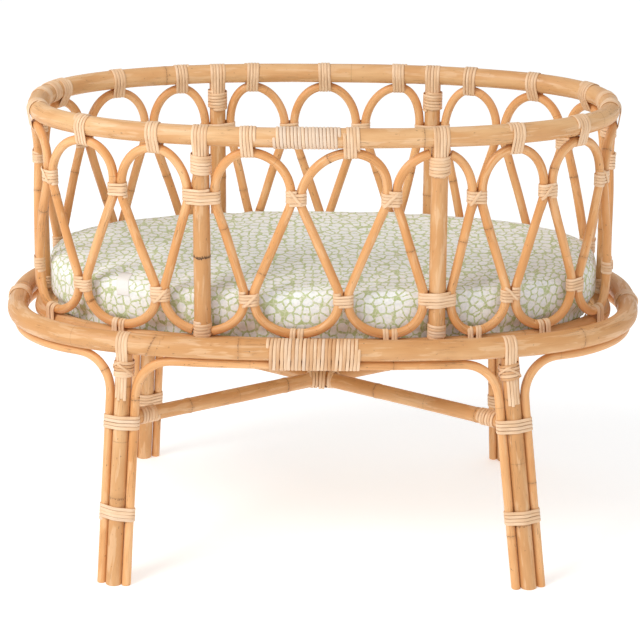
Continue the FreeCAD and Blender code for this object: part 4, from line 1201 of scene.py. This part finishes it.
# ---- deck, kept as the part has it -----------------------------------------------------------
def finish_deck():
    finishes = {"deck_slats": (SLAT, 0.0008), "deck_screws": (STEEL, 0.0002),
                "deck_rail_front": (SLAT, 0.0005), "deck_rail_back": (SLAT, 0.0005)}
    for name, (material, softened) in finishes.items():
        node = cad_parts[name]
        node.data.materials.clear()
        node.data.materials.append(material)
        bevel = node.modifiers.new("soft_edges", "BEVEL")
        bevel.width, bevel.segments, bevel.limit_method = softened, 2, "ANGLE"


# ---- stage -----------------------------------------------------------------------------------
def build_stage():
    mesh = bpy.data.meshes.new("studio_floor")
    size = 9.0
    corners = [(-size, -size, 0), (size, -size, 0), (size, size, 0), (-size, size, 0)]
    mesh.from_pydata(corners, [], [(0, 1, 2, 3)])
    floor = placed("studio_floor", mesh)
    floor.location.z = -0.0004
    p = Paint("studio_floor")
    mesh.materials.append(p.finish(Base_Color=(0.87, 0.89, 0.905, 1), Roughness=0.9,
                                   Emission_Color=(1, 1, 1, 1), Emission_Strength=0.42))
    world = bpy.data.worlds.new("studio")
    world.use_nodes = True
    world.node_tree.nodes["Background"].inputs["Color"].default_value = (1, 1, 1, 1)
    world.node_tree.nodes["Background"].inputs["Strength"].default_value = 0.62
    bpy.context.scene.world = world
    lamp("key", (-1.9, -1.7, 2.6), 1.4, 62.0, (1.0, 0.985, 0.96))
    lamp("fill", (2.4, -2.2, 1.4), 2.0, 5.0, (1.0, 1.0, 1.0))
    bpy.context.scene.view_settings.view_transform = "Standard"


def lamp(name, place, size, power, tone):
    light = bpy.data.lights.new(name, "AREA")
    light.energy, light.size, light.color = power, size, tone
    piece = placed(name, light)
    piece.location = place
    aim = Vector((0, 0, 0.35)) - Vector(place)
    piece.rotation_euler = aim.to_track_quat("-Z", "Y").to_euler()


def build_camera():
    lens, distance, tilt, yaw, roll = 137.475, 3.3565, 0.3337, -0.0122, 0.0046
    across, height = -0.00357, 0.2952
    place = Vector((across, -distance * math.cos(tilt), height + distance * math.sin(tilt)))
    ahead = Vector((0, math.cos(tilt), -math.sin(tilt)))
    up = Vector((0, math.sin(tilt), math.cos(tilt)))
    right = Vector((1, 0, 0))
    cam_x = right * math.cos(roll) + up * math.sin(roll)
    cam_y = up * math.cos(roll) - right * math.sin(roll)
    unyaw = Matrix.Rotation(-yaw, 3, "Z")
    axes = Matrix((unyaw @ cam_x, unyaw @ cam_y, unyaw @ -ahead)).transposed()
    camera = bpy.data.cameras.new("camera")
    camera.lens, camera.sensor_width = lens, 36.0
    piece = placed("camera", camera)
    piece.matrix_world = Matrix.Translation(unyaw @ place) @ axes.to_4x4()
    bpy.context.scene.camera = piece


build_camera()
build_stage()
build_rim()
build_base()
build_walls()
build_posts()
build_legs()
build_label(build_mattress())
finish_deck()
